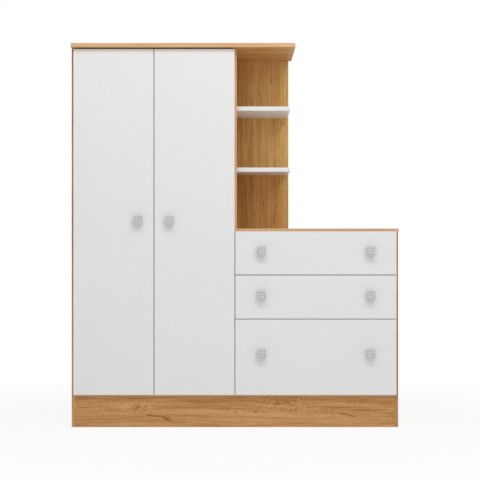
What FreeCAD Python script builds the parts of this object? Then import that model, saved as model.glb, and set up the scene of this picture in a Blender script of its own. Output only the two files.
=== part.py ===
"""A chifforobe: a two-door wardrobe and a three-drawer dresser that share one upright board.

Millimetres, Z up, the front towards -Y. The origin is the middle of the footprint, on the floor.
"""
import FreeCAD
import Part
import Sketcher
import os

Vector = FreeCAD.Vector
Rotation = FreeCAD.Rotation

os.makedirs("parts", exist_ok=True)
doc = FreeCAD.newDocument("Chifforobe")


# ---------------------------------------------------------------- driving sizes

sizes = {
    # carcass
    "body_width": 1400,  # across the outer faces of the two outer sides
    "side_depth": 420,  # front edge to rear edge of an upright
    "wardrobe_side_height": 1625,  # tall uprights, floor to the underside of the top
    "dresser_side_height": 837,  # short upright, floor to the underside of the dresser top
    "board": 15,  # faced chipboard of the carcass, doors and drawer fronts
    "top_board": 18,  # thicker board of the wardrobe top
    "shelf_board": 18,  # thicker board of the open shelves
    "back_sheet": 3,  # hardboard behind the carcass
    "sheet_margin": 1,  # hardboard stops short of the outer faces by this
    "plinth_height": 132,  # floor to the underside of the two floors
    "plinth_setback": 2,  # plinth behind the front edges of the sides
    "stretcher_inset": 40,  # rear stretcher in front of the rear edges
    "top_front_overhang": 18,  # wardrobe top in front of the door faces
    "top_end_overhang": 14,  # wardrobe top past the niche back's free edge
    "dresser_top_overhang": 3,  # dresser top past the right side
    "niche_width": 236.4,  # niche back, from the middle panel to its free edge
    "niche_shelf_shortfall": 6,  # niche shelves stop short of the niche back's free edge
    "niche_shelf_depth": 366,  # niche shelves, front edge to the niche back

    # fronts
    "front_overlay": 6,  # doors and drawer fronts cover this much of an upright's edge
    "front_gap": 3,  # air between the fronts and the carcass edges
    "reveal": 3,  # gap between neighbouring fronts
    "front_bottom": 140,  # floor to the bottom edge of the lowest fronts
    "door_top_gap": 5,  # door's top edge to the underside of the top
    "front_edge_bevel": 0.8,  # eased edge of the white fronts
    "front_top_cover": 3,  # upper drawer front rises past the underside of the dresser top
    "shallow_front_height": 185.5,  # fronts of the two upper drawers

    # knobs
    "knob_stand": 25,  # knob's face to the front that carries it
    "knob_width": 38,  # square head of a knob
    "knob_head": 9,  # thickness of a knob's head
    "knob_neck": 16,  # square neck of a knob
    "knob_bevel": 1.6,  # bevel round a knob's face
    "knob_square": 28,  # outer side of the square line sunk in a knob's face
    "knob_line_width": 2,  # width of that line
    "knob_line_depth": 0.8,  # depth of that line
    "door_knob_inset": 67,  # door knob's centre to the middle of the gap between the doors
    "door_knob_height": 887,  # floor to a door knob's centre
    "drawer_knob_reach": 233,  # drawer knob's centre to the middle of its drawer
    "shallow_knob_drop": 85,  # top edge of an upper drawer front to its knobs' centres
    "deep_knob_drop": 147,  # top edge of the deep drawer front to its knobs' centres

    # hinges
    "hinge_inset": 100,  # upper and lower hinge to the door's ends
    "pin_inset": 8,  # hinge pin to the door's outer edge
    "pin_depth": 6,  # hinge pin behind the door's face
    "pin_diameter": 2.2,  # hinge pin
    "pin_length": 17.4,  # hinge pin
    "pin_clearance": 0.06,  # hinge eye round its pin, on the radius
    "eye_width": 4,  # eight-sided eye of the hinge arm, corner to corner
    "cup_diameter": 35,  # hinge cup
    "cup_inset": 22,  # centre of the cup to the door's outer edge
    "cup_depth": 12,  # cup below the door's rear face
    "cup_floor": 0.8,  # floor of the cup's well
    "well_width": 16,  # well of the cup, along the pin
    "well_front": 19,  # pin to the well's far wall
    "well_back": 2.2,  # pin to the well's near wall
    "well_corner": 3.3,  # cut corners of the well
    "cup_fit": 0.1,  # cup bore in the door round the cup, on the radius
    "flange_width": 1.1,  # cup's flange past the cup, on the radius
    "flange_flat": 16,  # straight side of the flange beside the door's edge
    "flange": 1,  # thickness of the cup's flange
    "wing_start": 5,  # screw wings of the flange, from the cup's centre
    "wing_width": 10,  # screw wings of the flange
    "wing_reach": 28,  # screw wings' ends above and below the cup's centre
    "arm_strip": 1.6,  # steel of the hinge arm's hook
    "arm_width": 9,  # width of the hook inside the cup
    "arm_rise": 11.2,  # hook's upright leg, from the pin
    "arm_length": 50,  # hinge arm behind the upright's front edge
    "channel_width": 12,  # channel of the hinge arm
    "channel_wall": 1.2,  # wall of that channel
    "channel_height": 8.8,  # height of that channel
    "channel_start": 4,  # channel behind the upright's front edge
    "plate": 2.5,  # base of the mounting plate
    "plate_start": 10,  # mounting plate behind the upright's front edge
    "plate_width": 14,  # middle of the mounting plate
    "plate_reach": 27,  # plate's wings above and below its centre
    "plate_wing": 12,  # width of the plate's wings
    "screw_line": 37,  # plate's screws behind the upright's front edge
    "boss_clearance": 0.2,  # plate's boss inside the arm's channel

    # inside the wardrobe
    "hat_space": 300,  # top face of the hat shelf to the underside of the wardrobe top
    "hat_shelf_setback": 20,  # hat shelf behind the uprights' front edges
    "shelf_clearance": 0.5,  # hat shelf to each upright
    "pin_row_inset": 60,  # shelf pins to the uprights' front and rear edges
    "shelf_pin": 5,  # stem of a shelf pin
    "shelf_pin_depth": 9,  # stem's share in the upright
    "tongue_length": 10,  # shelf pin's tongue under the shelf
    "tongue_width": 9,  # width of that tongue
    "tongue_thickness": 3,  # thickness of that tongue
    "rail_drop": 50,  # underside of the hat shelf to the clothes rail's centre
    "rail_setback": 205,  # clothes rail behind the uprights' front edges
    "rail_diameter": 25,  # clothes rail tube
    "rail_wall": 1.2,  # wall of the clothes rail tube
    "rail_fit": 0.2,  # rail in its sockets, on the radius
    "socket_width": 44,  # eight-sided rail socket, corner to corner
    "socket_base": 3,  # socket's floor behind the rail's end
    "socket_collar": 14,  # socket round the rail

    # drawers
    "drawer_length": 390,  # drawer box behind its front
    "drawer_side": 12,  # board of the drawer boxes
    "drawer_gap": 3,  # drawer box to the upright at each side
    "shallow_box_rise": 15.5,  # box above the bottom edge of an upper front
    "shallow_box_drop": 30,  # box below the top edge of an upper front
    "deep_box_rise": 20,  # box above the bottom edge of the deep front
    "deep_box_drop": 43,  # box below the top edge of the deep front
    "bottom_sheet": 3,  # hardboard drawer bottom
    "bottom_rise": 10,  # drawer bottom above the lower edge of the box
    "bottom_groove": 6,  # depth of the groove that holds the bottom
    "bottom_fit": 0.1,  # drawer bottom in its groove, each face
    "runner_groove": 7.5,  # depth of the runner's groove in a drawer side
    "runner_height": 14.2,  # height of a runner strip
    "runner_play": 0.3,  # runner in its groove, above and below
    "runner_end_play": 0.5,  # runner to the floor of its groove
    "runner_length": 380,  # length of a runner strip
    "runner_setback": 4,  # runner strip behind the uprights' front edges
    "runner_nose": 5,  # taper at a runner's front end

    # dowels and pads
    "dowel_diameter": 8,  # wooden dowel
    "dowel_length": 30,  # wooden dowel
    "dowel_bite": 10,  # dowel's share in the upright
    "dowel_inset": 50,  # dowels to the front and rear edges of the boards
    "dowel_stagger": 16,  # dresser's dowels past the wardrobe's on the upright that they share
    "pad_width": 5,  # square felt pad
    "pad_air": 0.3,  # felt pad to the closed front
    "pad_from_gap": 40,  # door's felt pad to the middle of the gap between the doors
}

sheet = doc.addObject("Spreadsheet::Sheet", "Sizes")
for row, (alias, value) in enumerate(sizes.items(), start=1):
    sheet.set(f"A{row}", alias.replace("_", " "))
    sheet.set(f"B{row}", str(value))
    sheet.setAlias(f"B{row}", alias)
doc.recompute()


# ---------------------------------------------------------------- places worked out from them

places = doc.addObject("App::VarSet", "Places")


def place(name, expression):
    """A coordinate or size that follows from the driving sizes."""
    places.addProperty("App::PropertyFloat", name, "Places")
    places.setExpression(name, expression)


place("centre_x", "-Sizes.dresser_top_overhang / 2")
place("left_outer", "Places.centre_x - Sizes.body_width / 2")
place("left_inner", "Places.left_outer + Sizes.board")
place("middle_left", "Places.centre_x - Sizes.board / 2")
place("middle_right", "Places.centre_x + Sizes.board / 2")
place("right_outer", "Places.centre_x + Sizes.body_width / 2")
place("right_inner", "Places.right_outer - Sizes.board")
place("bay_width", "(Sizes.body_width - 3 * Sizes.board) / 2")
place("total_depth", "Sizes.knob_stand + Sizes.board + Sizes.front_gap + Sizes.side_depth + Sizes.back_sheet")
place("face_y", "Sizes.knob_stand - Places.total_depth / 2")
place("face_rear_y", "Places.face_y + Sizes.board")
place("carcass_front_y", "Places.face_rear_y + Sizes.front_gap")
place("carcass_rear_y", "Places.carcass_front_y + Sizes.side_depth")
place("floor_top_z", "Sizes.plinth_height + Sizes.board")
place("dresser_top_z", "Sizes.dresser_side_height + Sizes.board")
place("wardrobe_top_z", "Sizes.wardrobe_side_height + Sizes.top_board")
place("niche_height",
      "(Sizes.wardrobe_side_height - Places.dresser_top_z - 2 * Sizes.shelf_board) / 3")
place("door_width", "(Places.bay_width + 2 * Sizes.front_overlay - Sizes.reveal) / 2")
place("door_height", "Sizes.wardrobe_side_height - Sizes.door_top_gap - Sizes.front_bottom")
place("drawer_front_width", "Places.bay_width + 2 * Sizes.front_overlay")
place("deep_front_height", "Sizes.dresser_side_height + Sizes.front_top_cover - Sizes.front_bottom"
      " - 2 * Sizes.shallow_front_height - 2 * Sizes.reveal")
place("deep_box_height", "Places.deep_front_height - Sizes.deep_box_rise - Sizes.deep_box_drop")
place("shallow_box_height", "Sizes.shallow_front_height - Sizes.shallow_box_rise - Sizes.shallow_box_drop")
place("hat_shelf_z", "Sizes.wardrobe_side_height - Sizes.hat_space - Sizes.board")
place("left_door_x", "Places.left_inner - Sizes.front_overlay")
place("right_door_x", "Places.middle_left + Sizes.front_overlay - Places.door_width")
place("door_gap_x", "Places.left_door_x + Places.door_width + Sizes.reveal / 2")
place("drawer_middle_x", "(Places.middle_right + Places.right_inner) / 2")
doc.recompute()


# ---------------------------------------------------------------- sketching helpers

def origin_plane(body, role):
    """One of a body's own three origin planes."""
    return [feature for feature in body.Origin.OriginFeatures if feature.Role == role][0]


def sketch_on(body, role, offset="0"):
    """A sketch on an origin plane of its own body, moved along the plane's normal."""
    sketch = body.newObject("Sketcher::SketchObject", body.Name + "_sketch")
    sketch.AttachmentSupport = [(origin_plane(body, role), "")]
    sketch.MapMode = "FlatFace"
    sketch.setExpression("AttachmentOffset.Base.z", offset)
    return sketch


def dimension(sketch, kind, references, expression):
    """A dimension of a sketch, bound to the sizes."""
    index = sketch.addConstraint(Sketcher.Constraint(kind, *references, 10.0))
    name = f"dimension_{index}"
    sketch.renameConstraint(index, name)
    sketch.setExpression(f"Constraints.{name}", expression)


def pin_point(sketch, geometry, end, x, y):
    """Fix a point of a sketch at x, y from the sketch's origin; None means on the axis."""
    origin = (-1, 1)
    if x is None:
        sketch.addConstraint(Sketcher.Constraint("PointOnObject", geometry, end, -2))
    else:
        dimension(sketch, "DistanceX", (*origin, geometry, end), x)
    if y is None:
        sketch.addConstraint(Sketcher.Constraint("PointOnObject", geometry, end, -1))
    else:
        dimension(sketch, "DistanceY", (*origin, geometry, end), y)


def rectangle(sketch, x, y, width, height):
    """A rectangle by its lower left corner and its two sides."""
    first = sketch.GeometryCount
    corners = [Vector(1, 1, 0), Vector(9, 1, 0), Vector(9, 9, 0), Vector(1, 9, 0)]
    for i in range(4):
        sketch.addGeometry(Part.LineSegment(corners[i], corners[(i + 1) % 4]), False)
    for i in range(4):
        sketch.addConstraint(Sketcher.Constraint("Coincident", first + i, 2, first + (i + 1) % 4, 1))
    for i in (0, 2):
        sketch.addConstraint(Sketcher.Constraint("Horizontal", first + i))
        sketch.addConstraint(Sketcher.Constraint("Vertical", first + i + 1))
    dimension(sketch, "DistanceX", (first, 1, first, 2), width)
    dimension(sketch, "DistanceY", (first + 1, 1, first + 1, 2), height)
    pin_point(sketch, first, 1, x, y)


def circle(sketch, x, y, diameter):
    """A circle by its centre and diameter."""
    index = sketch.addGeometry(Part.Circle(Vector(5, 5, 0), Vector(0, 0, 1), 3), False)
    dimension(sketch, "Diameter", (index,), diameter)
    pin_point(sketch, index, 3, x, y)


def polygon(sketch, points):
    """A closed outline through points, each given as its x and y."""
    first = sketch.GeometryCount
    count = len(points)
    rough = [Vector(10 + i, 10 + (i * i) % 7, 0) for i in range(count)]
    for i in range(count):
        sketch.addGeometry(Part.LineSegment(rough[i], rough[(i + 1) % count]), False)
    for i in range(count):
        sketch.addConstraint(Sketcher.Constraint("Coincident", first + i, 2, first + (i + 1) % count, 1))
    for i, (x, y) in enumerate(points):
        pin_point(sketch, first + i, 1, x, y)


def pad(body, sketch, length, reverse=False):
    """Raise a sketch along its normal."""
    feature = body.newObject("PartDesign::Pad", body.Name + "_pad")
    feature.Profile = sketch
    feature.Reversed = reverse
    feature.setExpression("Length", length)
    body.Tip = feature
    return feature


def pocket(body, sketch, depth, reverse=False):
    """Sink a sketch against its normal, and make sure that it took something away."""
    doc.recompute()
    volume_before = body.Shape.Volume
    feature = body.newObject("PartDesign::Pocket", body.Name + "_pocket")
    feature.Profile = sketch
    feature.Reversed = reverse
    feature.setExpression("Length", depth)
    body.Tip = feature
    doc.recompute()
    assert body.Shape.Volume < volume_before, f"{feature.Name} cut nothing"
    return feature


def put(thing, x, y, z, turn=None):
    """Set a piece down at x, y, z, turned first if a turn is given."""
    if turn is not None:
        thing.Placement = FreeCAD.Placement(Vector(0, 0, 0), turn)
    thing.setExpression("Placement.Base.x", x)
    thing.setExpression("Placement.Base.y", y)
    thing.setExpression("Placement.Base.z", z)


def new_body(name):
    """An empty body for one piece."""
    body = doc.addObject("PartDesign::Body", name)
    body.Label = name
    return body


def board(name, x, y, z, length, depth, height):
    """A flat board by its lowest corner and its extents along X, Y and Z."""
    body = new_body(name)
    outline = sketch_on(body, "XY_Plane")
    rectangle(outline, None, None, length, depth)
    pad(body, outline, height)
    put(body, x, y, z)
    return body


def ease_edges(body):
    """Ease all the edges of a white front a little."""
    doc.recompute()
    sharp = body.Tip
    easing = body.newObject("PartDesign::Chamfer", body.Name + "_easing")
    easing.Base = (sharp, [f"Edge{i + 1}" for i in range(len(sharp.Shape.Edges))])
    easing.setExpression("Size", "Sizes.front_edge_bevel")
    body.Tip = easing


def cylinder(name, diameter, height):
    """A round bar along Z from the origin."""
    bar = doc.addObject("Part::Cylinder", name)
    bar.setExpression("Radius", f"{diameter} / 2")
    bar.setExpression("Height", height)
    return bar


def eight_sided(name, width, height):
    """An eight-sided bar along Z from the origin, by its width from corner to corner."""
    bar = doc.addObject("Part::Prism", name)
    bar.Polygon = 8
    bar.setExpression("Circumradius", f"{width} / 2")
    bar.setExpression("Height", height)
    return bar


def copy_of(master, x, y, z, turn=None):
    """One more of a piece that is made once, at x, y, z."""
    link = doc.addObject("App::Link", master.Name + "_copy")
    link.LinkedObject = master
    put(link, x, y, z, turn)
    return link


def group(name, members):
    """A node that holds several separate solids."""
    node = doc.addObject("Part::Compound", name)
    node.Label = name
    node.Links = members
    return node


def bored(name, blank, holes):
    """A board with its holes: the blank, less the bars that fill them."""
    tools = group(name + "_holes", holes)
    node = doc.addObject("Part::Cut", name)
    node.Label = name
    node.Base = blank
    node.Tool = tools
    return node


nodes = []
cutters = {}


def keep(node):
    """Name a finished sub-part as one that is written out."""
    nodes.append(node)
    return node


# ---------------------------------------------------------------- dowels
# Every joint of two carcass boards is pinned with fluted dowels, drawn as plain eight-sided bars that fill
# their holes. A dowel is drawn along +X, with the joint's plane at x = 0 and its longer share on +X.

ALONG_X = Rotation(Vector(0, 1, 0), 90)
ALONG_MINUS_X = Rotation(Vector(0, 1, 0), -90)
ALONG_MINUS_Y = Rotation(Vector(1, 0, 0), 90)
ALONG_PLUS_Z = Rotation()
ALONG_MINUS_Z = Rotation(Vector(1, 0, 0), 180)
HALF_TURN = Rotation(Vector(0, 0, 1), 180)

dowel_bar = eight_sided("dowel_bar", "Sizes.dowel_diameter", "Sizes.dowel_length")
put(dowel_bar, "0", "0", "-Sizes.dowel_bite")
dowel = group("dowel", [dowel_bar])
dowel_copies = []


def dowel_joint(boards, x, y, z, turn):
    """A dowel across one joint, with its hole in both boards."""
    dowel_copies.append(copy_of(dowel, x, y, z, turn))
    for name in boards:
        cutters.setdefault(name, []).append(dowel_copies[-1])


FRONT_DOWEL_Y = "Places.carcass_front_y + Sizes.dowel_inset"
REAR_DOWEL_Y = "Places.carcass_rear_y - Sizes.dowel_inset"
SHIFTED_FRONT_Y = f"{FRONT_DOWEL_Y} + Sizes.dowel_stagger"
SHIFTED_REAR_Y = f"{REAR_DOWEL_Y} - Sizes.dowel_stagger"
ENDS = (FRONT_DOWEL_Y, REAR_DOWEL_Y)
SHIFTED_ENDS = (SHIFTED_FRONT_Y, SHIFTED_REAR_Y)

# floors and the dresser top, against the uprights
FLOOR_MIDDLE_Z = "Sizes.plinth_height + Sizes.board / 2"
side_joints = [
    ("wardrobe_bottom_panel", "left_side_panel", "Places.left_inner", ALONG_X, ENDS, FLOOR_MIDDLE_Z),
    ("wardrobe_bottom_panel", "middle_panel", "Places.middle_left", ALONG_MINUS_X, ENDS, FLOOR_MIDDLE_Z),
    ("dresser_bottom_panel", "middle_panel", "Places.middle_right", ALONG_X, SHIFTED_ENDS, FLOOR_MIDDLE_Z),
    ("dresser_bottom_panel", "right_side_panel", "Places.right_inner", ALONG_MINUS_X, ENDS, FLOOR_MIDDLE_Z),
    ("dresser_top", "middle_panel", "Places.middle_right", ALONG_X, SHIFTED_ENDS,
     "Sizes.dresser_side_height + Sizes.board / 2"),
]
for board_name, upright_name, joint_x, turn, joint_ys, joint_z in side_joints:
    for joint_y in joint_ys:
        dowel_joint([board_name, upright_name], joint_x, joint_y, joint_z, turn)

# tops, on the uprights below them
top_joints = [
    ("left_side_panel", "wardrobe_top", "Places.left_outer + Sizes.board / 2", "Sizes.wardrobe_side_height"),
    ("middle_panel", "wardrobe_top", "Places.centre_x", "Sizes.wardrobe_side_height"),
    ("right_side_panel", "dresser_top", "Places.right_inner + Sizes.board / 2", "Sizes.dresser_side_height"),
]
for upright_name, top_name, joint_x, joint_z in top_joints:
    for joint_y in ENDS:
        dowel_joint([upright_name, top_name], joint_x, joint_y, joint_z, ALONG_MINUS_Z)

# niche back, between the dresser top and the wardrobe top
NICHE_BACK_MIDDLE_Y = "Places.carcass_rear_y - Sizes.board / 2"
for joint_x in ("Places.middle_right + Sizes.dowel_inset",
                "Places.middle_right + Sizes.niche_width - Sizes.dowel_inset"):
    dowel_joint(["niche_back_panel", "wardrobe_top"], joint_x, NICHE_BACK_MIDDLE_Y,
                "Sizes.wardrobe_side_height", ALONG_MINUS_Z)
    dowel_joint(["niche_back_panel", "dresser_top"], joint_x, NICHE_BACK_MIDDLE_Y,
                "Places.dresser_top_z", ALONG_PLUS_Z)

# plinth and rear stretchers, against the uprights
PLINTH_MIDDLE_Y = "Places.carcass_front_y + Sizes.plinth_setback + Sizes.board / 2"
STRETCHER_MIDDLE_Y = "Places.carcass_rear_y - Sizes.stretcher_inset - Sizes.board / 2"
rail_joints = [
    ("front_plinth", "left_side_panel", "Places.left_inner", PLINTH_MIDDLE_Y, ALONG_X, "0"),
    ("front_plinth", "right_side_panel", "Places.right_inner", PLINTH_MIDDLE_Y, ALONG_MINUS_X, "0"),
    ("wardrobe_rear_stretcher", "left_side_panel", "Places.left_inner", STRETCHER_MIDDLE_Y, ALONG_X, "0"),
    ("wardrobe_rear_stretcher", "middle_panel", "Places.middle_left", STRETCHER_MIDDLE_Y,
     ALONG_MINUS_X, "0"),
    ("dresser_rear_stretcher", "middle_panel", "Places.middle_right", STRETCHER_MIDDLE_Y, ALONG_X,
     "Sizes.dowel_stagger"),
    ("dresser_rear_stretcher", "right_side_panel", "Places.right_inner", STRETCHER_MIDDLE_Y,
     ALONG_MINUS_X, "0"),
]
for rail_name, upright_name, joint_x, joint_y, turn, shift in rail_joints:
    for quarter in (1, 3):
        dowel_joint([rail_name, upright_name], joint_x, joint_y,
                    f"{quarter} * Sizes.plinth_height / 4 - {shift}", turn)


# ---------------------------------------------------------------- open shelves beside the wardrobe
# Each shelf is doweled to the middle panel at its end, and to the niche back along its rear edge.

SHELF_FRONT_Y = "Places.carcass_rear_y - Sizes.board - Sizes.niche_shelf_depth"
SHELF_REAR_Y = "Places.carcass_rear_y - Sizes.board"
SHELF_LENGTH = "(Sizes.niche_width - Sizes.niche_shelf_shortfall)"
for shelf_name, level in (("lower_niche_shelf", 1), ("upper_niche_shelf", 2)):
    shelf_z = f"Places.dresser_top_z + {level} * Places.niche_height + {level - 1} * Sizes.shelf_board"
    dowel_z = f"{shelf_z} + Sizes.shelf_board / 2"
    for dowel_y in (f"{SHELF_FRONT_Y} + Sizes.dowel_inset", f"{SHELF_REAR_Y} - Sizes.dowel_inset"):
        dowel_joint([shelf_name, "middle_panel"], "Places.middle_right", dowel_y, dowel_z, ALONG_X)
    dowel_joint([shelf_name, "niche_back_panel"], f"Places.middle_right + {SHELF_LENGTH} - Sizes.dowel_inset",
                SHELF_REAR_Y, dowel_z, ALONG_MINUS_Y)
    blank = board(shelf_name + "_blank", "Places.middle_right", SHELF_FRONT_Y, shelf_z,
                  SHELF_LENGTH, "Sizes.niche_shelf_depth", "Sizes.shelf_board")
    keep(bored(shelf_name, blank, cutters[shelf_name]))


# ---------------------------------------------------------------- hat shelf and its pins
# A pin's eight-sided stem sits in the upright, and its tongue carries the shelf.

pin_stem = eight_sided("pin_stem", "Sizes.shelf_pin", "Sizes.shelf_pin_depth")
shelf_pin = doc.addObject("Part::MultiFuse", "shelf_pin")
shelf_pin.Shapes = [
    copy_of(pin_stem, "0", "0", "0", ALONG_MINUS_X),
    board("pin_tongue", "0", "-Sizes.tongue_width / 2", "Sizes.shelf_pin / 2 - Sizes.tongue_thickness",
          "Sizes.tongue_length", "Sizes.tongue_width", "Sizes.tongue_thickness"),
]

PIN_Z = "Places.hat_shelf_z - Sizes.shelf_pin / 2"
pin_rows = ("Places.carcass_front_y + Sizes.pin_row_inset", "Places.carcass_rear_y - Sizes.pin_row_inset")
pin_copies = []
for pin_y in pin_rows:
    pin_copies.append(copy_of(shelf_pin, "Places.left_inner", pin_y, PIN_Z))
    pin_copies.append(copy_of(shelf_pin, "Places.middle_left", pin_y, PIN_Z, HALF_TURN))
    cutters["left_side_panel"].append(copy_of(pin_stem, "Places.left_inner", pin_y, PIN_Z, ALONG_MINUS_X))
    cutters["middle_panel"].append(copy_of(pin_stem, "Places.middle_left", pin_y, PIN_Z, ALONG_X))
keep(group("hat_shelf_pins", pin_copies))

keep(board("hat_shelf", "Places.left_inner + Sizes.shelf_clearance",
           "Places.carcass_front_y + Sizes.hat_shelf_setback", "Places.hat_shelf_z",
           "Places.bay_width - 2 * Sizes.shelf_clearance", "Sizes.side_depth - Sizes.hat_shelf_setback",
           "Sizes.board"))


# ---------------------------------------------------------------- clothes rail and its sockets

RAIL_Y = "Places.carcass_front_y + Sizes.rail_setback"
RAIL_Z = "Places.hat_shelf_z - Sizes.rail_drop"

clothes_rail = new_body("clothes_rail")
tube = sketch_on(clothes_rail, "YZ_Plane")
circle(tube, None, None, "Sizes.rail_diameter")
circle(tube, None, None, "Sizes.rail_diameter - 2 * Sizes.rail_wall")
pad(clothes_rail, tube, "Places.bay_width - 2 * Sizes.socket_base")
put(clothes_rail, "Places.left_inner + Sizes.socket_base", RAIL_Y, RAIL_Z)
keep(clothes_rail)

rail_end = cylinder("rail_end", "Sizes.rail_diameter + 2 * Sizes.rail_fit", "Sizes.socket_collar")
socket_block = eight_sided("socket_block", "Sizes.socket_width", "Sizes.socket_base + Sizes.socket_collar")
rail_socket = bored("rail_socket", socket_block, [copy_of(rail_end, "0", "0", "Sizes.socket_base")])
keep(group("rail_sockets", [copy_of(rail_socket, "Places.left_inner", RAIL_Y, RAIL_Z, ALONG_X),
                            copy_of(rail_socket, "Places.middle_left", RAIL_Y, RAIL_Z, ALONG_MINUS_X)]))


# ---------------------------------------------------------------- carcass boards

def carcass_board(name, x, y, z, length, depth, height):
    """A carcass board with the holes that its joints need."""
    blank = board(name + "_blank", x, y, z, length, depth, height)
    return keep(bored(name, blank, cutters[name]))


UPRIGHT_SECTION = ("Sizes.board", "Sizes.side_depth")
carcass_board("left_side_panel", "Places.left_outer", "Places.carcass_front_y", "0",
              *UPRIGHT_SECTION, "Sizes.wardrobe_side_height")
carcass_board("right_side_panel", "Places.right_inner", "Places.carcass_front_y", "0",
              *UPRIGHT_SECTION, "Sizes.dresser_side_height")

# the shared upright is notched at its foot, where the plinth runs past it
middle_blank = board("middle_panel_blank", "Places.middle_left", "Places.carcass_front_y", "0",
                     *UPRIGHT_SECTION, "Sizes.wardrobe_side_height")
notch = sketch_on(middle_blank, "YZ_Plane")
rectangle(notch, None, None, "Sizes.plinth_setback + Sizes.board", "Sizes.plinth_height")
pocket(middle_blank, notch, "Sizes.board", reverse=True)
keep(bored("middle_panel", middle_blank, cutters["middle_panel"]))

carcass_board("wardrobe_top", "Places.left_outer", "Places.face_y - Sizes.top_front_overhang",
              "Sizes.wardrobe_side_height",
              "Places.middle_right + Sizes.niche_width + Sizes.top_end_overhang - Places.left_outer",
              "Places.carcass_rear_y - Places.face_y + Sizes.top_front_overhang", "Sizes.top_board")
carcass_board("dresser_top", "Places.middle_right", "Places.carcass_front_y", "Sizes.dresser_side_height",
              "Places.right_outer + Sizes.dresser_top_overhang - Places.middle_right",
              "Sizes.side_depth", "Sizes.board")
carcass_board("niche_back_panel", "Places.middle_right", "Places.carcass_rear_y - Sizes.board",
              "Places.dresser_top_z", "Sizes.niche_width", "Sizes.board",
              "Sizes.wardrobe_side_height - Places.dresser_top_z")
carcass_board("wardrobe_bottom_panel", "Places.left_inner", "Places.carcass_front_y", "Sizes.plinth_height",
              "Places.bay_width", "Sizes.side_depth", "Sizes.board")
carcass_board("dresser_bottom_panel", "Places.middle_right", "Places.carcass_front_y", "Sizes.plinth_height",
              "Places.bay_width", "Sizes.side_depth", "Sizes.board")
carcass_board("front_plinth", "Places.left_inner", "Places.carcass_front_y + Sizes.plinth_setback", "0",
              "Places.right_inner - Places.left_inner", "Sizes.board", "Sizes.plinth_height")
for name, stretcher_x in (("wardrobe_rear_stretcher", "Places.left_inner"),
                          ("dresser_rear_stretcher", "Places.middle_right")):
    carcass_board(name, stretcher_x, "Places.carcass_rear_y - Sizes.stretcher_inset - Sizes.board", "0",
                  "Places.bay_width", "Sizes.board", "Sizes.plinth_height")

keep(board("wardrobe_back_sheet", "Places.left_outer + Sizes.sheet_margin", "Places.carcass_rear_y",
           "Sizes.plinth_height + Sizes.sheet_margin",
           "Places.centre_x - Places.left_outer - 1.5 * Sizes.sheet_margin", "Sizes.back_sheet",
           "Places.wardrobe_top_z - Sizes.plinth_height - 2 * Sizes.sheet_margin"))
keep(board("dresser_back_sheet", "Places.centre_x + Sizes.sheet_margin / 2", "Places.carcass_rear_y",
           "Sizes.plinth_height + Sizes.sheet_margin",
           "Places.right_outer - Places.centre_x - 1.5 * Sizes.sheet_margin", "Sizes.back_sheet",
           "Places.dresser_top_z - Sizes.plinth_height - 2 * Sizes.sheet_margin"))

keep(group("dowels", dowel_copies))


# ---------------------------------------------------------------- square knobs

knob = new_body("knob")
neck = sketch_on(knob, "XZ_Plane")
rectangle(neck, "-Sizes.knob_neck / 2", "-Sizes.knob_neck / 2", "Sizes.knob_neck", "Sizes.knob_neck")
pad(knob, neck, "Sizes.knob_stand - Sizes.knob_head")
head = sketch_on(knob, "XZ_Plane", "Sizes.knob_stand - Sizes.knob_head")
rectangle(head, "-Sizes.knob_width / 2", "-Sizes.knob_width / 2", "Sizes.knob_width", "Sizes.knob_width")
pad(knob, head, "Sizes.knob_head")
doc.recompute()
knob_solid = knob.Tip
face_edges = [f"Edge{i + 1}" for i, edge in enumerate(knob_solid.Shape.Edges)
              if abs(edge.BoundBox.YMax - knob_solid.Shape.BoundBox.YMin) < 1e-6]
bevel = knob.newObject("PartDesign::Chamfer", "knob_bevel")
bevel.Base = (knob_solid, face_edges)
bevel.setExpression("Size", "Sizes.knob_bevel")
knob.Tip = bevel
line = sketch_on(knob, "XZ_Plane", "Sizes.knob_stand")
for inset in ("0", "Sizes.knob_line_width"):
    half = f"(Sizes.knob_square / 2 - {inset})"
    rectangle(line, f"-{half}", f"-{half}", f"2 * {half}", f"2 * {half}")
pocket(knob, line, "Sizes.knob_line_depth")


# ---------------------------------------------------------------- concealed hinges
# One pin per hinge, inside the cup and close to the door's outer corner, so that the door swings clear of
# its neighbour. The arm hooks out of the cup's mouth and back over the upright's inner face. Drawn for the
# left door, with the pin at the origin; the right door's are mirrored.

PIN_TO_REAR = "(Sizes.board - Sizes.pin_depth)"
PIN_TO_EDGE = f"({PIN_TO_REAR} + Sizes.front_gap)"
PIN_TO_UPRIGHT = "(Sizes.pin_inset - Sizes.front_overlay)"
CUP_RADIUS = "(Sizes.cup_diameter / 2)"
PIN_TO_CUP = "(Sizes.cup_inset - Sizes.pin_inset)"

# cup, drawn about its own axis (Y) with the door's rear face at y = 0
cup_body = new_body("cup_body")
cup_disc = sketch_on(cup_body, "XZ_Plane")
circle(cup_disc, None, None, "Sizes.cup_diameter")
pad(cup_body, cup_disc, "Sizes.cup_depth")

# flange with two screw wings, lying on the door's rear face
FLANGE_REACH = f"({CUP_RADIUS} + Sizes.flange_width)"
WING_END = "(Sizes.wing_start + Sizes.wing_width)"
upper_flange = [
    (f"-{FLANGE_REACH}", "Sizes.flange_flat / 2"),
    ("-Sizes.flange_flat / 2", FLANGE_REACH),
    ("Sizes.wing_start", FLANGE_REACH),
    ("Sizes.wing_start", "Sizes.wing_reach"),
    (WING_END, "Sizes.wing_reach"),
    (WING_END, FLANGE_REACH),
    (FLANGE_REACH, "Sizes.flange_flat / 2"),
]
lower_flange = [(x, f"-({z})") for x, z in reversed(upper_flange)]
flange = sketch_on(cup_body, "XZ_Plane")
polygon(flange, upper_flange + lower_flange)
pad(cup_body, flange, "Sizes.flange", reverse=True)

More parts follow.
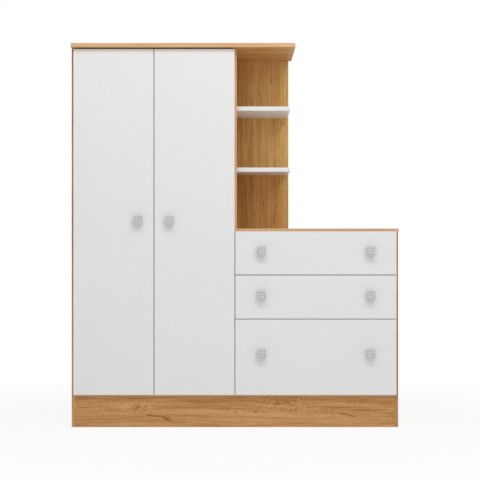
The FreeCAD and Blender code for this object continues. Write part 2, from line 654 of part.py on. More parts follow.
# well in which the hook swings, with cut corners
WELL_NEAR = f"(-{PIN_TO_CUP} - Sizes.well_back)"
WELL_FAR = f"(Sizes.well_front - {PIN_TO_CUP})"
WELL_SIDE = "(Sizes.well_width / 2)"
WELL_INNER = "(Sizes.well_width / 2 - Sizes.well_corner)"
well = sketch_on(cup_body, "XZ_Plane", "-Sizes.flange")
polygon(well, [
    (WELL_NEAR, f"-{WELL_INNER}"),
    (f"{WELL_NEAR} + Sizes.well_back / 2", f"-{WELL_SIDE}"),
    (f"{WELL_FAR} - Sizes.well_corner", f"-{WELL_SIDE}"),
    (WELL_FAR, f"-{WELL_INNER}"),
    (WELL_FAR, WELL_INNER),
    (f"{WELL_FAR} - Sizes.well_corner", WELL_SIDE),
    (f"{WELL_NEAR} + Sizes.well_back / 2", WELL_SIDE),
    (WELL_NEAR, WELL_INNER),
])
pocket(cup_body, well, "Sizes.flange + Sizes.cup_depth - Sizes.cup_floor", reverse=True)

# pin, whose ends sit in the walls of the well
hinge_pin = cylinder("hinge_pin", "Sizes.pin_diameter", "Sizes.pin_length")
pin_seat = copy_of(hinge_pin, f"-{PIN_TO_CUP}", f"-{PIN_TO_REAR}", "-Sizes.pin_length / 2")
cup = bored("cup", cup_body, [pin_seat])

cup_bore = cylinder("cup_bore", "Sizes.cup_diameter + 2 * Sizes.cup_fit", "Sizes.cup_depth + Sizes.cup_fit")

# arm: a hook of flat strip with an eye, running back into a channel
hinge_arm = new_body("hinge_arm")
STRIP_OUTER = "(Sizes.arm_rise + Sizes.arm_strip)"
ARM_END = f"({PIN_TO_EDGE} + Sizes.arm_length)"
hook = sketch_on(hinge_arm, "XY_Plane", "-Sizes.arm_width / 2")
polygon(hook, [
    (None, "-Sizes.arm_strip / 2"),
    (f"{STRIP_OUTER} - Sizes.arm_strip", "-Sizes.arm_strip / 2"),
    (STRIP_OUTER, "Sizes.arm_strip / 2"),
    (STRIP_OUTER, ARM_END),
    ("Sizes.arm_rise", ARM_END),
    ("Sizes.arm_rise", "1.5 * Sizes.arm_strip"),
    ("Sizes.arm_rise - Sizes.arm_strip", "Sizes.arm_strip / 2"),
    (None, "Sizes.arm_strip / 2"),
])
pad(hinge_arm, hook, "Sizes.arm_width")
eye = sketch_on(hinge_arm, "XY_Plane", "-Sizes.arm_width / 2")
EYE = "(Sizes.eye_width / 2 * cos(22.5 deg))"
EYE_CORNER = "(Sizes.eye_width / 2 * sin(22.5 deg))"
polygon(eye, [
    (EYE_CORNER, EYE),
    (f"-{EYE_CORNER}", EYE),
    (f"-{EYE}", EYE_CORNER),
    (f"-{EYE}", f"-{EYE_CORNER}"),
    (f"-{EYE_CORNER}", f"-{EYE}"),
    (EYE_CORNER, f"-{EYE}"),
    (EYE, f"-{EYE_CORNER}"),
    (EYE, EYE_CORNER),
])
pad(hinge_arm, eye, "Sizes.arm_width")
channel = sketch_on(hinge_arm, "XY_Plane", "-Sizes.channel_width / 2")
CHANNEL_START = f"({PIN_TO_EDGE} + Sizes.channel_start)"
CHANNEL_FOOT = f"({STRIP_OUTER} - Sizes.channel_height)"
polygon(channel, [
    (STRIP_OUTER, CHANNEL_START),
    (STRIP_OUTER, ARM_END),
    (CHANNEL_FOOT, ARM_END),
    (CHANNEL_FOOT, f"{CHANNEL_START} + Sizes.channel_height"),
])
pad(hinge_arm, channel, "Sizes.channel_width")
hollow = sketch_on(hinge_arm, "XY_Plane", "Sizes.channel_width / 2 - Sizes.channel_wall")
rectangle(hollow, f"{CHANNEL_FOOT} - Sizes.channel_wall", CHANNEL_START,
          "Sizes.channel_height", "Sizes.arm_length")
pocket(hinge_arm, hollow, "Sizes.channel_width - 2 * Sizes.channel_wall")
eye_bore = sketch_on(hinge_arm, "XY_Plane", "Sizes.arm_width / 2")
circle(eye_bore, None, None, "Sizes.pin_diameter + 2 * Sizes.pin_clearance")
pocket(hinge_arm, eye_bore, "Sizes.arm_width")

# mounting plate: a winged base on the upright's inner face and a boss inside the arm's channel
hinge_plate = new_body("hinge_plate")
PLATE_FACE = f"-{PIN_TO_UPRIGHT}"
plate_middle = sketch_on(hinge_plate, "YZ_Plane", PLATE_FACE)
rectangle(plate_middle, f"{PIN_TO_EDGE} + Sizes.plate_start", "-Sizes.plate_width / 2",
          "Sizes.arm_length - Sizes.plate_start", "Sizes.plate_width")
pad(hinge_plate, plate_middle, "Sizes.plate")
plate_wings = sketch_on(hinge_plate, "YZ_Plane", PLATE_FACE)
rectangle(plate_wings, f"{PIN_TO_EDGE} + Sizes.screw_line - Sizes.plate_wing / 2", "-Sizes.plate_reach",
          "Sizes.plate_wing", "2 * Sizes.plate_reach")
pad(hinge_plate, plate_wings, "Sizes.plate")
boss = sketch_on(hinge_plate, "YZ_Plane", PLATE_FACE)
BOSS_WIDTH = "(Sizes.channel_width - 2 * Sizes.channel_wall - 2 * Sizes.boss_clearance)"
rectangle(boss, f"{PIN_TO_EDGE} + Sizes.plate_start", f"-{BOSS_WIDTH} / 2",
          "Sizes.arm_length - Sizes.plate_start", BOSS_WIDTH)
pad(hinge_plate, boss, f"{PIN_TO_UPRIGHT} + {STRIP_OUTER} - Sizes.channel_wall - Sizes.boss_clearance")


def mirrored(name, part):
    """The same piece for the other hand."""
    twin = doc.addObject("Part::Mirroring", name)
    twin.Source = part
    twin.Base = (0, 0, 0)
    twin.Normal = (1, 0, 0)
    return twin


hinge_heights = ("Sizes.front_bottom + Sizes.hinge_inset",
                 "Sizes.front_bottom + Places.door_height / 2",
                 "Sizes.front_bottom + Places.door_height - Sizes.hinge_inset")
PIN_Y = "Places.face_y + Sizes.pin_depth"
hands = [
    ("left", "Places.left_door_x", "Places.left_door_x", "", cup, hinge_arm, hinge_plate),
    ("right", "Places.right_door_x", "Places.right_door_x + Places.door_width", "-",
     mirrored("cup_right", cup), mirrored("hinge_arm_right", hinge_arm),
     mirrored("hinge_plate_right", hinge_plate)),
]
for hand, door_x, outer_edge, sign, cup_part, arm_part, plate_part in hands:
    inward = "-" if sign else "+"
    outward = "+" if sign else "-"
    pin_x = f"{outer_edge} {inward} Sizes.pin_inset"
    cup_x = f"{outer_edge} {inward} Sizes.cup_inset"
    keep(group(f"{hand}_hinge_plates", [copy_of(plate_part, pin_x, PIN_Y, z) for z in hinge_heights]))
    keep(group(f"{hand}_hinge_arms", [copy_of(arm_part, pin_x, PIN_Y, z) for z in hinge_heights]))
    keep(group(f"{hand}_hinge_cups",
               [copy_of(cup_part, cup_x, "Places.face_rear_y", z) for z in hinge_heights]))
    keep(group(f"{hand}_hinge_pins",
               [copy_of(hinge_pin, pin_x, PIN_Y, f"{z} - Sizes.pin_length / 2") for z in hinge_heights]))

    slab = board(f"{hand}_door_slab", door_x, "Places.face_y", "Sizes.front_bottom",
                 "Places.door_width", "Sizes.board", "Places.door_height")
    ease_edges(slab)
    bores = [copy_of(cup_bore, cup_x, "Places.face_rear_y", z, ALONG_MINUS_Y) for z in hinge_heights]
    keep(bored(f"{hand}_door_panel", slab, bores))
    keep(group(f"{hand}_door_knob", [
        copy_of(knob, f"Places.door_gap_x {outward} Sizes.door_knob_inset", "Places.face_y",
                "Sizes.door_knob_height")]))


# ---------------------------------------------------------------- drawers and their runners
# A drawer box hangs on two hardwood strips that run in grooves along the outside of its sides.

GROOVE_HEIGHT = "(Sizes.runner_height + 2 * Sizes.runner_play)"
BOX_LEFT = "(Places.middle_right + Sizes.drawer_gap)"
BOX_WIDTH = "(Places.bay_width - 2 * Sizes.drawer_gap)"
INNER_WIDTH = f"({BOX_WIDTH} - 2 * Sizes.drawer_side)"
SHEET_SLOT = "(Sizes.bottom_sheet + 2 * Sizes.bottom_fit)"
STRIP = "(Sizes.drawer_gap + Sizes.runner_groove - Sizes.runner_end_play)"


def drawer_side(name, outer_face_on_left, x, z, height):
    """A drawer side with the runner's groove outside and the bottom's groove inside."""
    body = board(name, x, "Places.face_rear_y", z, "Sizes.drawer_side", "Sizes.drawer_length", height)
    outside = "0" if outer_face_on_left else "Sizes.drawer_side"
    inside = "Sizes.drawer_side" if outer_face_on_left else "0"
    way = sketch_on(body, "YZ_Plane", outside)
    rectangle(way, None, f"{height} / 2 - {GROOVE_HEIGHT} / 2", "Sizes.drawer_length", GROOVE_HEIGHT)
    pocket(body, way, "Sizes.runner_groove", reverse=outer_face_on_left)
    slot = sketch_on(body, "YZ_Plane", inside)
    rectangle(slot, None, "Sizes.bottom_rise", "Sizes.drawer_length", SHEET_SLOT)
    pocket(body, slot, "Sizes.bottom_groove", reverse=not outer_face_on_left)
    return keep(body)


def drawer(name, front_z, front_height, box_rise, box_height, knob_drop):
    """One drawer: its front, box, bottom, knobs, and the two runner strips on the uprights."""
    box_z = f"{front_z} + {box_rise}"
    front = board(f"{name}_drawer_front", "Places.middle_right - Sizes.front_overlay", "Places.face_y",
                  front_z, "Places.drawer_front_width", "Sizes.board", front_height)
    ease_edges(front)
    slot = sketch_on(front, "XZ_Plane", "-Sizes.board")
    side_inset = "Sizes.front_overlay + Sizes.drawer_gap + Sizes.drawer_side - Sizes.bottom_groove"
    rectangle(slot, side_inset, f"{box_rise} + Sizes.bottom_rise",
              f"{INNER_WIDTH} + 2 * Sizes.bottom_groove", SHEET_SLOT)
    pocket(front, slot, "Sizes.bottom_groove", reverse=True)
    keep(front)

    drawer_side(f"{name}_drawer_left_side", True, BOX_LEFT, box_z, box_height)
    drawer_side(f"{name}_drawer_right_side", False, f"{BOX_LEFT} + {BOX_WIDTH} - Sizes.drawer_side",
                box_z, box_height)
    back_rise = f"(Sizes.bottom_rise + {SHEET_SLOT})"
    keep(board(f"{name}_drawer_back", f"{BOX_LEFT} + Sizes.drawer_side",
               "Places.face_rear_y + Sizes.drawer_length - Sizes.drawer_side", f"{box_z} + {back_rise}",
               INNER_WIDTH, "Sizes.drawer_side", f"{box_height} - {back_rise}"))
    keep(board(f"{name}_drawer_bottom",
               f"{BOX_LEFT} + Sizes.drawer_side - Sizes.bottom_groove + Sizes.bottom_fit",
               "Places.face_rear_y - Sizes.bottom_groove + Sizes.bottom_fit",
               f"{box_z} + Sizes.bottom_rise + Sizes.bottom_fit",
               f"{INNER_WIDTH} + 2 * Sizes.bottom_groove - 2 * Sizes.bottom_fit",
               "Sizes.drawer_length + Sizes.bottom_groove - Sizes.bottom_fit", "Sizes.bottom_sheet"))

    knob_z = f"{front_z} + {front_height} - {knob_drop}"
    keep(group(f"{name}_drawer_knobs",
               [copy_of(knob, f"Places.drawer_middle_x {side} Sizes.drawer_knob_reach", "Places.face_y",
                        knob_z) for side in "-+"]))

    strip = new_body(f"{name}_runner_strip")
    outline = sketch_on(strip, "YZ_Plane")
    polygon(outline, [
        (None, "Sizes.runner_nose / 2"),
        ("Sizes.runner_nose", None),
        ("Sizes.runner_length", None),
        ("Sizes.runner_length", "Sizes.runner_height"),
        ("Sizes.runner_nose", "Sizes.runner_height"),
        (None, "Sizes.runner_height - Sizes.runner_nose / 2"),
    ])
    pad(strip, outline, STRIP)
    strip_y = "Places.carcass_front_y + Sizes.runner_setback"
    strip_z = f"{box_z} + {box_height} / 2 - Sizes.runner_height / 2"
    keep(group(f"{name}_drawer_runners",
               [copy_of(strip, "Places.middle_right", strip_y, strip_z),
                copy_of(strip, f"Places.right_inner - {STRIP}", strip_y, strip_z)]))


DEEP_Z = "Sizes.front_bottom"
MIDDLE_Z = f"({DEEP_Z} + Places.deep_front_height + Sizes.reveal)"
UPPER_Z = f"({MIDDLE_Z} + Sizes.shallow_front_height + Sizes.reveal)"
SHALLOW = ("Sizes.shallow_front_height", "Sizes.shallow_box_rise", "Places.shallow_box_height",
           "Sizes.shallow_knob_drop")
drawer("deep", DEEP_Z, "Places.deep_front_height", "Sizes.deep_box_rise", "Places.deep_box_height",
       "Sizes.deep_knob_drop")
drawer("middle", MIDDLE_Z, *SHALLOW)
drawer("upper", UPPER_Z, *SHALLOW)


# ---------------------------------------------------------------- felt pads
# Small pads on the carcass edges take the knock of a closing door or drawer.

felt = doc.addObject("Part::Box", "felt")
felt.setExpression("Length", "Sizes.pad_width")
felt.setExpression("Width", "Sizes.front_gap - Sizes.pad_air")
felt.setExpression("Height", "Sizes.pad_width")
FELT_Y = "Places.carcass_front_y - Sizes.front_gap + Sizes.pad_air"
pad_copies = []
for side in "-+":
    pad_x = f"Places.door_gap_x {side} Sizes.pad_from_gap - Sizes.pad_width / 2"
    pad_copies.append(copy_of(felt, pad_x, FELT_Y,
                              "(Sizes.front_bottom + Places.floor_top_z - Sizes.pad_width) / 2"))
pad_middles = ("Places.middle_right - Sizes.front_overlay / 2",
               "Places.right_inner + Sizes.front_overlay / 2")
for front_z, front_height in ((DEEP_Z, "Places.deep_front_height"), (MIDDLE_Z, "Sizes.shallow_front_height"),
                              (UPPER_Z, "Sizes.shallow_front_height")):
    for pad_middle in pad_middles:
        pad_copies.append(copy_of(felt, f"{pad_middle} - Sizes.pad_width / 2", FELT_Y,
                                  f"{front_z} + {front_height} / 2"))
keep(group("front_bumpers", pad_copies))


# ---------------------------------------------------------------- check and write

doc.recompute()
for item in doc.Objects:
    if "Invalid" in item.State or "Error" in item.State:
        raise RuntimeError(f"{item.Name} did not recompute: {item.State}")
for node in nodes:
    shape = node.Shape
    if shape.isNull() or not shape.isValid() or not shape.Solids:
        raise RuntimeError(f"{node.Label} has no sound shape")
    shape.exportStep(f"parts/{node.Label}.step")
print(len(nodes), "nodes written")
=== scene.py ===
import math

import bmesh
import bpy
from mathutils import Matrix, Vector


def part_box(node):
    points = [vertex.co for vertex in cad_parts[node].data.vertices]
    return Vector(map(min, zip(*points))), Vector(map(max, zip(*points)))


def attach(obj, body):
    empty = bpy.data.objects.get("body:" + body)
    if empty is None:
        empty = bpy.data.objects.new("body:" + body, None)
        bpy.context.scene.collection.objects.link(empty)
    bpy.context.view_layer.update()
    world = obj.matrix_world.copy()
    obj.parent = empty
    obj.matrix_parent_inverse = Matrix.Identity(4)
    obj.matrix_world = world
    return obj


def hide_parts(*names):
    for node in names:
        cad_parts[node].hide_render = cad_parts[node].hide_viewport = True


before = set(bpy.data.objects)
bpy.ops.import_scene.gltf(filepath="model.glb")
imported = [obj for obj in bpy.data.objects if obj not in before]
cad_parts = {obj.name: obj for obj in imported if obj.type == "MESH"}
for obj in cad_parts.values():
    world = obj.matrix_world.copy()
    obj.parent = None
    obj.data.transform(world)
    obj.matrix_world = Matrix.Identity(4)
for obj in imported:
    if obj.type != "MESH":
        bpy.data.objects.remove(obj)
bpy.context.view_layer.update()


# ---------------------------------------------------------------- carcass boards
# Uprights, tops, floors, plinth and stretchers are 15 mm and 18 mm chipboard faced with an oak-look foil.
# The print shows knots and small cracks, and the cut edges are closed with a paler ironed-on band.

def display(red, green, blue):
    """A colour from the 0-255 values that it shows at, as the shader wants it."""
    channels = []
    for value in (red / 255, green / 255, blue / 255):
        channels.append(value / 12.92 if value <= 0.04045 else ((value + 0.055) / 1.055) ** 2.4)
    return (*channels, 1.0)


class Wire:
    """One socket of a material. Sums on it add Math nodes, and node() adds any other node."""

    def __init__(self, tree, socket=None):
        self.tree = tree
        self.socket = socket

    def node(self, kind, settings=None, sockets=None, output=0):
        """Add a node: first its settings, then the values or links of its sockets."""
        made = self.tree.nodes.new("ShaderNode" + kind)
        for name, value in (settings or {}).items():
            if name == "stops":
                made.color_ramp.elements.remove(made.color_ramp.elements[0])
                made.color_ramp.elements[0].position = value[0][0]
                made.color_ramp.elements[0].color = value[0][1]
                for position, colour in value[1:]:
                    made.color_ramp.elements.new(position).color = colour
            else:
                setattr(made, name, value)
        for name, value in (sockets or {}).items():
            if isinstance(value, Wire):
                self.tree.links.new(value.socket, made.inputs[name])
            else:
                made.inputs[name].default_value = value
        return Wire(self.tree, made.outputs[output])

    def sum_of(self, operation, *values):
        return self.node("Math", {"operation": operation}, dict(enumerate(values)))

    def __add__(self, other):
        return self.sum_of("ADD", self, other)

    __radd__ = __add__

    def __sub__(self, other):
        return self.sum_of("SUBTRACT", self, other)

    def __rsub__(self, other):
        return self.sum_of("SUBTRACT", other, self)

    def __mul__(self, other):
        return self.sum_of("MULTIPLY", self, other)

    __rmul__ = __mul__

    def __truediv__(self, other):
        return self.sum_of("DIVIDE", self, other)

    def __pow__(self, other):
        return self.sum_of("POWER", self, other)

    def __abs__(self):
        return self.sum_of("ABSOLUTE", self)

    def __or__(self, other):
        return self.sum_of("MAXIMUM", self, other)

    def __lt__(self, other):
        return self.sum_of("LESS_THAN", self, other)

    def __gt__(self, other):
        return self.sum_of("GREATER_THAN", self, other)


def new_material(name):
    """An empty material and the wire that its nodes are drawn from."""
    material = bpy.data.materials.new(name)
    material.use_nodes = True
    return material, Wire(material.node_tree)


def ease(value, low, high):
    """0 below low, 1 above high, and a smooth step between."""
    return value.node("MapRange", {"interpolation_type": "SMOOTHSTEP"},
                      {"Value": value, "From Min": low, "From Max": high})


def tint(amount, under, over):
    """One colour laid over another by an amount."""
    return amount.node("Mix", {"data_type": "RGBA"}, {0: amount, 6: under, 7: over}, output=2)


def with_mask(masks, mask):
    """Masks laid over one another so far, with one more, which may be the first."""
    return mask if masks is None else masks | mask


def centred(here, centre):
    """The three coordinates of a piece, in metres from a point on it."""
    place = here.node("TexCoord", output="Object")
    place = here.node("Mapping", {}, {"Vector": place, "Location": -Vector(centre)})
    return {axis: here.node("SeparateXYZ", {}, {0: place}, axis) for axis in "XYZ"}


def grainy(here, first, second, third, detail=2.0, roughness=0.5):
    """Noise at three coordinates that have already been divided by the size of its marks."""
    where = here.node("CombineXYZ", {}, {0: first, 1: second, 2: third})
    return here.node("TexNoise", {}, {"Vector": where, "Scale": 1.0, "Detail": detail,
                                      "Roughness": roughness})


def surface(here, colour, roughness, height, relief, fixed=None):
    """Join the finished colour, roughness and height to the material's shader. Relief is how far in metres
    a height of 1 stands out, and fixed holds the sockets that are the same all over."""
    shader = here.tree.nodes["Principled BSDF"]
    normal = here.node("Bump", {}, {"Strength": 1.0, "Distance": relief, "Height": height})
    for name, wire in (("Base Color", colour), ("Roughness", roughness), ("Normal", normal)):
        here.tree.links.new(wire.socket, shader.inputs[name])
    for name, value in (fixed or {}).items():
        shader.inputs[name].default_value = value


def coat_node(node, material):
    """Give a finish to a board or fitting that comes from the frame as it is."""
    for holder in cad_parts[node].material_slots:
        holder.material = material


OAK_DEEP = display(163, 114, 65)
OAK_BROWN = display(189, 138, 84)
OAK_HONEY = display(205, 155, 100)
OAK_PALE = display(220, 174, 120)
OAK_LINE = display(132, 88, 46)
KNOT_DARK = display(112, 70, 30)
BAND_HONEY = display(232, 188, 143)
BAND_LINE = display(214, 170, 124)
BAND_THICKNESS = 0.0005
OAK_GLOSS = 0.08
OAK_RELIEF = 0.00006
PRINT_SHIFT_ALONG = 7.3     # these two give each board its own stretch of the print
PRINT_SHIFT_ACROSS = 3.1
GRAIN_WANDER = 0.04         # metres that the grain strays to a side
CRACK_WANDER = 0.008
KNOT_RAGGED = 1.5           # how uneven a knot's outline is, in its half widths
KNOT_RINGS = 1.5            # rings from a knot's heart to its outline
ARCH_SLENDER = 0.16         # how wide an arch of the year rings is for its length
ARCH_SHIFT = 0.05           # over ARCH_SLENDER, how far the arches' middle is from the board's


def oak_foil(node, grain, seed, bands=(), arches=0.0, painted_light_gain=None, knots=(), cracks=()):
    """Oak-look foil for one board, with its grain along an axis. Bands are its banded edges, each an axis
    and a side. Arches is the number of year rings to a metre. The gain lightens the front or lower face of a
    board and makes it more golden: painted light, standing in for light that falls on that face. Knots and
    cracks are listed in metres along and across the grain from the board's middle: a knot is its place,
    half length and half width, and a crack is its two ends and its half width."""
    low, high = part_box(node)
    size = dict(zip("XYZ", high - low))
    material, here = new_material(node + "_oak")
    spot = centred(here, (low + high) / 2)
    wide, thin = sorted((axis for axis in "XYZ" if axis != grain), key=lambda axis: -size[axis])
    along, across, through = spot[grain], spot[wide], spot[thin]

    # the grain wanders a little, parts round each knot, and lies in ripples beside it
    sway = grainy(here, along / 0.8 + PRINT_SHIFT_ALONG * seed, across / 0.22 + seed, through / 0.22) - 0.5
    bent = across + sway * GRAIN_WANDER
    ripple = grainy(here, along / 0.009, across / 0.016, through / 0.016 + seed)
    dark = None
    figured = None
    for knot_along, knot_across, half_length, half_width in knots:
        off = across - knot_across
        ragged = (grainy(here, along / 0.016, across / 0.007, seed, detail=3.0) - 0.5) * KNOT_RAGGED
        reach = (((along - knot_along) / half_length) ** 2 + (off / half_width) ** 2) ** 0.5 + ragged
        rings = reach * KNOT_RINGS
        turn = rings.sum_of("FRACT", rings)
        broken = ease(grainy(here, along / 0.010, across / 0.004, seed + 5, detail=1.0), 0.38, 0.58)
        loops = ease(turn, 0.35, 0.62) * (1 - ease(turn, 0.72, 1.0)) * (1 - ease(reach, 0.9, 1.8)) * broken
        heart = (1 - ease(reach, 0.0, 0.5)) * 0.55
        bent = bent - off * (1 - ease(reach, 0.8, 4.0)) * 0.5
        dark = with_mask(dark, heart | loops * 0.6)
        figured = with_mask(figured, 1 - ease(reach, 1.4, 5.0))
    for from_along, from_across, to_along, to_across, half_width in cracks:
        share = (along - from_along) / (to_along - from_along)
        wander = (grainy(here, along / 0.018, seed, 0.5) - 0.5) * CRACK_WANDER
        line = share * (to_across - from_across) + from_across + wander
        ends = ease(share, 0.0, 0.3) * (1 - ease(share, 0.6, 1.0))
        dark = with_mask(dark, (1 - ease(abs(across - line), half_width * 0.1, half_width)) * ends * 0.75)

    def streaks(length, width, detail=2.0, roughness=0.5):
        """Marks about so long and so wide, in metres, that follow the grain."""
        return grainy(here, along / length + PRINT_SHIFT_ALONG * seed,
                      bent / width + PRINT_SHIFT_ACROSS * seed, through / width, detail, roughness)

    # slow changes of shade, streaks, fine lines and fibres add up to one tone
    broad = streaks(1.3, 0.09)
    streak = streaks(0.42, 0.014, detail=4.0, roughness=0.55)
    fine = streaks(0.10, 0.0032, detail=3.0, roughness=0.6)
    fibre = streaks(0.018, 0.0006)
    tone = (broad - 0.5) * 0.5 + (streak - 0.5) * 0.85 + (fine - 0.5) * 0.9 + (fibre - 0.5) * 0.3 + 0.52
    tone = tone + (ripple - 0.5) * (0.25 if figured is None else figured * 0.8 + 0.25)
    colour = here.node("ValToRGB", {"stops": [(0.12, OAK_DEEP), (0.38, OAK_BROWN), (0.56, OAK_HONEY),
                                              (0.85, OAK_PALE)]}, {0: tone})

    # dark lines, the arches of the year rings, and pores are printed over it
    lines = ease(streaks(0.6, 0.007, detail=3.0), 0.58, 0.74)
    pores = ease(streaks(0.006, 0.0004, detail=1.0), 0.64, 0.72)
    colour = tint(lines * 0.24, colour, OAK_LINE)
    if arches:
        radius = (bent ** 2 + (along * ARCH_SLENDER + ARCH_SHIFT) ** 2) ** 0.5
        years = radius * arches + broad * 1.6
        year = years.sum_of("FRACT", years)
        late = ease(year, 0.5, 0.92) * (1 - ease(year, 0.94, 1.0))
        colour = tint(late * 0.22, colour, OAK_LINE)
    colour = tint(pores * 0.45, colour, OAK_LINE)
    # painted light: the gain lightens the front or lower face of the board and turns it more golden
    if painted_light_gain:
        colour = here.node("Mix", {"data_type": "RGBA", "blend_type": "MULTIPLY"},
                           {0: through < 0, 6: colour, 7: (*painted_light_gain, 1.0)}, output=2)
    if dark is not None:
        colour = tint(dark, colour, KNOT_DARK)
    if bands:
        edge = None
        for axis, side in bands:
            face = (size[axis] / 2 - BAND_THICKNESS) * side
            edge = with_mask(edge, spot[axis] > face if side > 0 else spot[axis] < face)
        band = tint(ease(streaks(0.3, 0.004, detail=3.0), 0.35, 0.7), BAND_HONEY, BAND_LINE)
        colour = tint(edge, colour, band)
    roughness = streak * 0.12 + pores * 0.15 + 0.40
    height = fine * 0.3 + fibre * 0.5 - pores - lines * 0.3
    surface(here, colour, roughness, height, OAK_RELIEF, {"Specular IOR Level": OAK_GLOSS})
    coat_node(node, material)


oak_foil("left_side_panel", "Z", 1, [("Y", 1)], arches=42,
         knots=[(0.42, 0.06, 0.016, 0.007), (-0.31, -0.09, 0.012, 0.006)])
oak_foil("middle_panel", "Z", 2, [("Y", -1), ("Y", 1)], arches=38,
         knots=[(-0.12, 0.11, 0.014, 0.006)])
oak_foil("right_side_panel", "Z", 3, [("Y", 1)], arches=46,
         knots=[(0.14, -0.04, 0.015, 0.007)], cracks=[(-0.22, 0.08, -0.10, 0.09, 0.0016)])
# painted light: the gain lightens the underside of the wardrobe top
oak_foil("wardrobe_top", "X", 4, [("Y", -1), ("X", -1), ("X", 1)], arches=40, painted_light_gain=(1.20, 1.26, 1.16),
         knots=[(-0.21, 0.05, 0.018, 0.007)])
oak_foil("dresser_top", "X", 5, [("Y", -1), ("X", 1)], arches=44)
# painted light: the gain lightens the front face of the niche back
oak_foil("niche_back_panel", "Z", 6, [("X", 1)], painted_light_gain=(1.28, 1.42, 1.30),
         knots=[(0.0909, 0.0855, 0.016, 0.0050)],
         cracks=[(0.2700, 0.0375, 0.3200, 0.0380, 0.0022), (0.1900, -0.0074, 0.2270, -0.0070, 0.0020),
                 (0.0700, 0.0850, 0.1120, 0.0860, 0.0022), (-0.2160, -0.0442, -0.1800, -0.0440, 0.0020),
                 (-0.2860, 0.0046, -0.2520, 0.0050, 0.0022)])
oak_foil("front_plinth", "X", 7,
         knots=[(-0.562, -0.0108, 0.009, 0.0046), (-0.414, 0.0210, 0.022, 0.0085),
                (0.003, -0.0009, 0.008, 0.0040), (0.087, -0.0009, 0.008, 0.0040),
                (0.222, 0.0380, 0.034, 0.0130), (0.394, 0.0133, 0.006, 0.0034)],
         cracks=[(-0.684, 0.0190, -0.598, 0.0190, 0.0018), (-0.432, 0.0180, -0.404, 0.0170, 0.0028),
                 (-0.395, -0.0130, -0.290, -0.0230, 0.0054),
                 (-0.330, -0.0180, -0.261, -0.0458, 0.0052), (-0.318, -0.0200, -0.258, -0.0330, 0.0038),
                 (0.159, 0.0330, 0.222, 0.0360, 0.0034), (0.437, -0.0056, 0.490, -0.0110, 0.0036),
                 (0.462, -0.0080, 0.526, -0.0230, 0.0036), (0.500, 0.0069, 0.660, 0.0069, 0.0026)])
for seed, node in enumerate(("wardrobe_bottom_panel", "dresser_bottom_panel", "wardrobe_rear_stretcher",
                             "dresser_rear_stretcher"), start=8):
    oak_foil(node, "X", seed, [("Y", -1)])


# ---------------------------------------------------------------- dowels and cam covers
# Beech dowels sit glued in the joints, out of sight. The cams beside them pull the boards tight, and each
# is closed with a pressed-in plastic cover in the colour of its board.

BEECH_DARK = display(196, 150, 108)
BEECH_PALE = display(224, 186, 144)
BEECH_RAY = display(158, 106, 70)


def bare_beech(name, grain):
    """Bare beech: close pinkish grain with the short dark flecks of its rays."""
    material, here = new_material(name)
    spot = centred(here, (0, 0, 0))
    along = spot.pop(grain)
    side, other = spot.values()
    figure = grainy(here, along / 0.12, side / 0.004, other / 0.004, detail=3.0)
    ray = ease(grainy(here, along / 0.003, side / 0.0007, other / 0.0007, detail=1.0), 0.60, 0.70)
    colour = tint(ray * 0.5, tint(figure, BEECH_DARK, BEECH_PALE), BEECH_RAY)
    surface(here, colour, figure * 0.2 + 0.5, figure * 0.4 - ray, relief=0.00005)
    return material


def mottle(here, spot, size, detail=2.0, roughness=0.5):
    """Noise with marks of one size in every direction, in metres."""
    return grainy(here, spot["X"] / size, spot["Y"] / size, spot["Z"] / size, detail, roughness)


def smooth_plastic(name, colour, speckle):
    """Moulded plastic with the faint texture of its mould."""
    material, here = new_material(name)
    spot = centred(here, (0, 0, 0))
    cloud = mottle(here, spot, 0.006, detail=3.0)
    sand = mottle(here, spot, 0.0004, detail=1.0)
    surface(here, tint(cloud, colour, speckle), sand * 0.12 + 0.42, sand, relief=0.00002)
    return material


def start(kind, name, **shape):
    """Add a primitive with nothing else selected."""
    bpy.ops.object.select_all(action="DESELECT")
    getattr(bpy.ops.mesh, f"primitive_{kind}_add")(**shape)
    piece = bpy.context.object
    piece.name = name
    bpy.ops.object.transform_apply(location=True, rotation=True, scale=True)
    bpy.ops.object.mode_set(mode="EDIT")
    return piece


def pick(piece, kind, test):
    """In edit mode, select only the faces or edges that pass a test."""
    bpy.ops.mesh.select_mode(type="FACE" if kind == "faces" else "EDGE")
    bpy.ops.mesh.select_all(action="DESELECT")
    shape = bmesh.from_edit_mesh(piece.data)
    for element in getattr(shape, kind):
        if test(element):
            element.select_set(True)
    bmesh.update_edit_mesh(piece.data)


SAME_PLACE = 1e-5


def facing(direction, level=None):
    """A test for faces that look along a direction, at a level along it if one is given."""
    way = Vector(direction)

    def test(face):
        at_level = level is None or abs(face.calc_center_median().dot(way) - level) < SAME_PLACE
        return face.normal.dot(way) > 0.9 and at_level

    return test


def round_top(level):
    """A test for the edges round the top face of a shape whose top is at a level."""
    return lambda edge: all(vertex.co.z > level - SAME_PLACE for vertex in edge.verts)


def rounded(piece, width, segments=2, angle=35):
    """Leave edit mode, break the sharp edges, and shade the rest smooth."""
    bpy.ops.mesh.select_all(action="SELECT")
    bpy.ops.mesh.normals_make_consistent(inside=False)
    bpy.ops.object.mode_set(mode="OBJECT")
    easing = piece.modifiers.new("easing", "BEVEL")
    easing.width = width
    easing.segments = segments
    easing.limit_method = "ANGLE"
    easing.angle_limit = math.radians(angle)
    bpy.ops.object.modifier_apply(modifier=easing.name)
    bpy.ops.object.shade_smooth_by_angle(angle=math.radians(angle))
    flatness = piece.modifiers.new("flatness", "WEIGHTED_NORMAL")
    flatness.keep_sharp = True
    bpy.ops.object.modifier_apply(modifier=flatness.name)


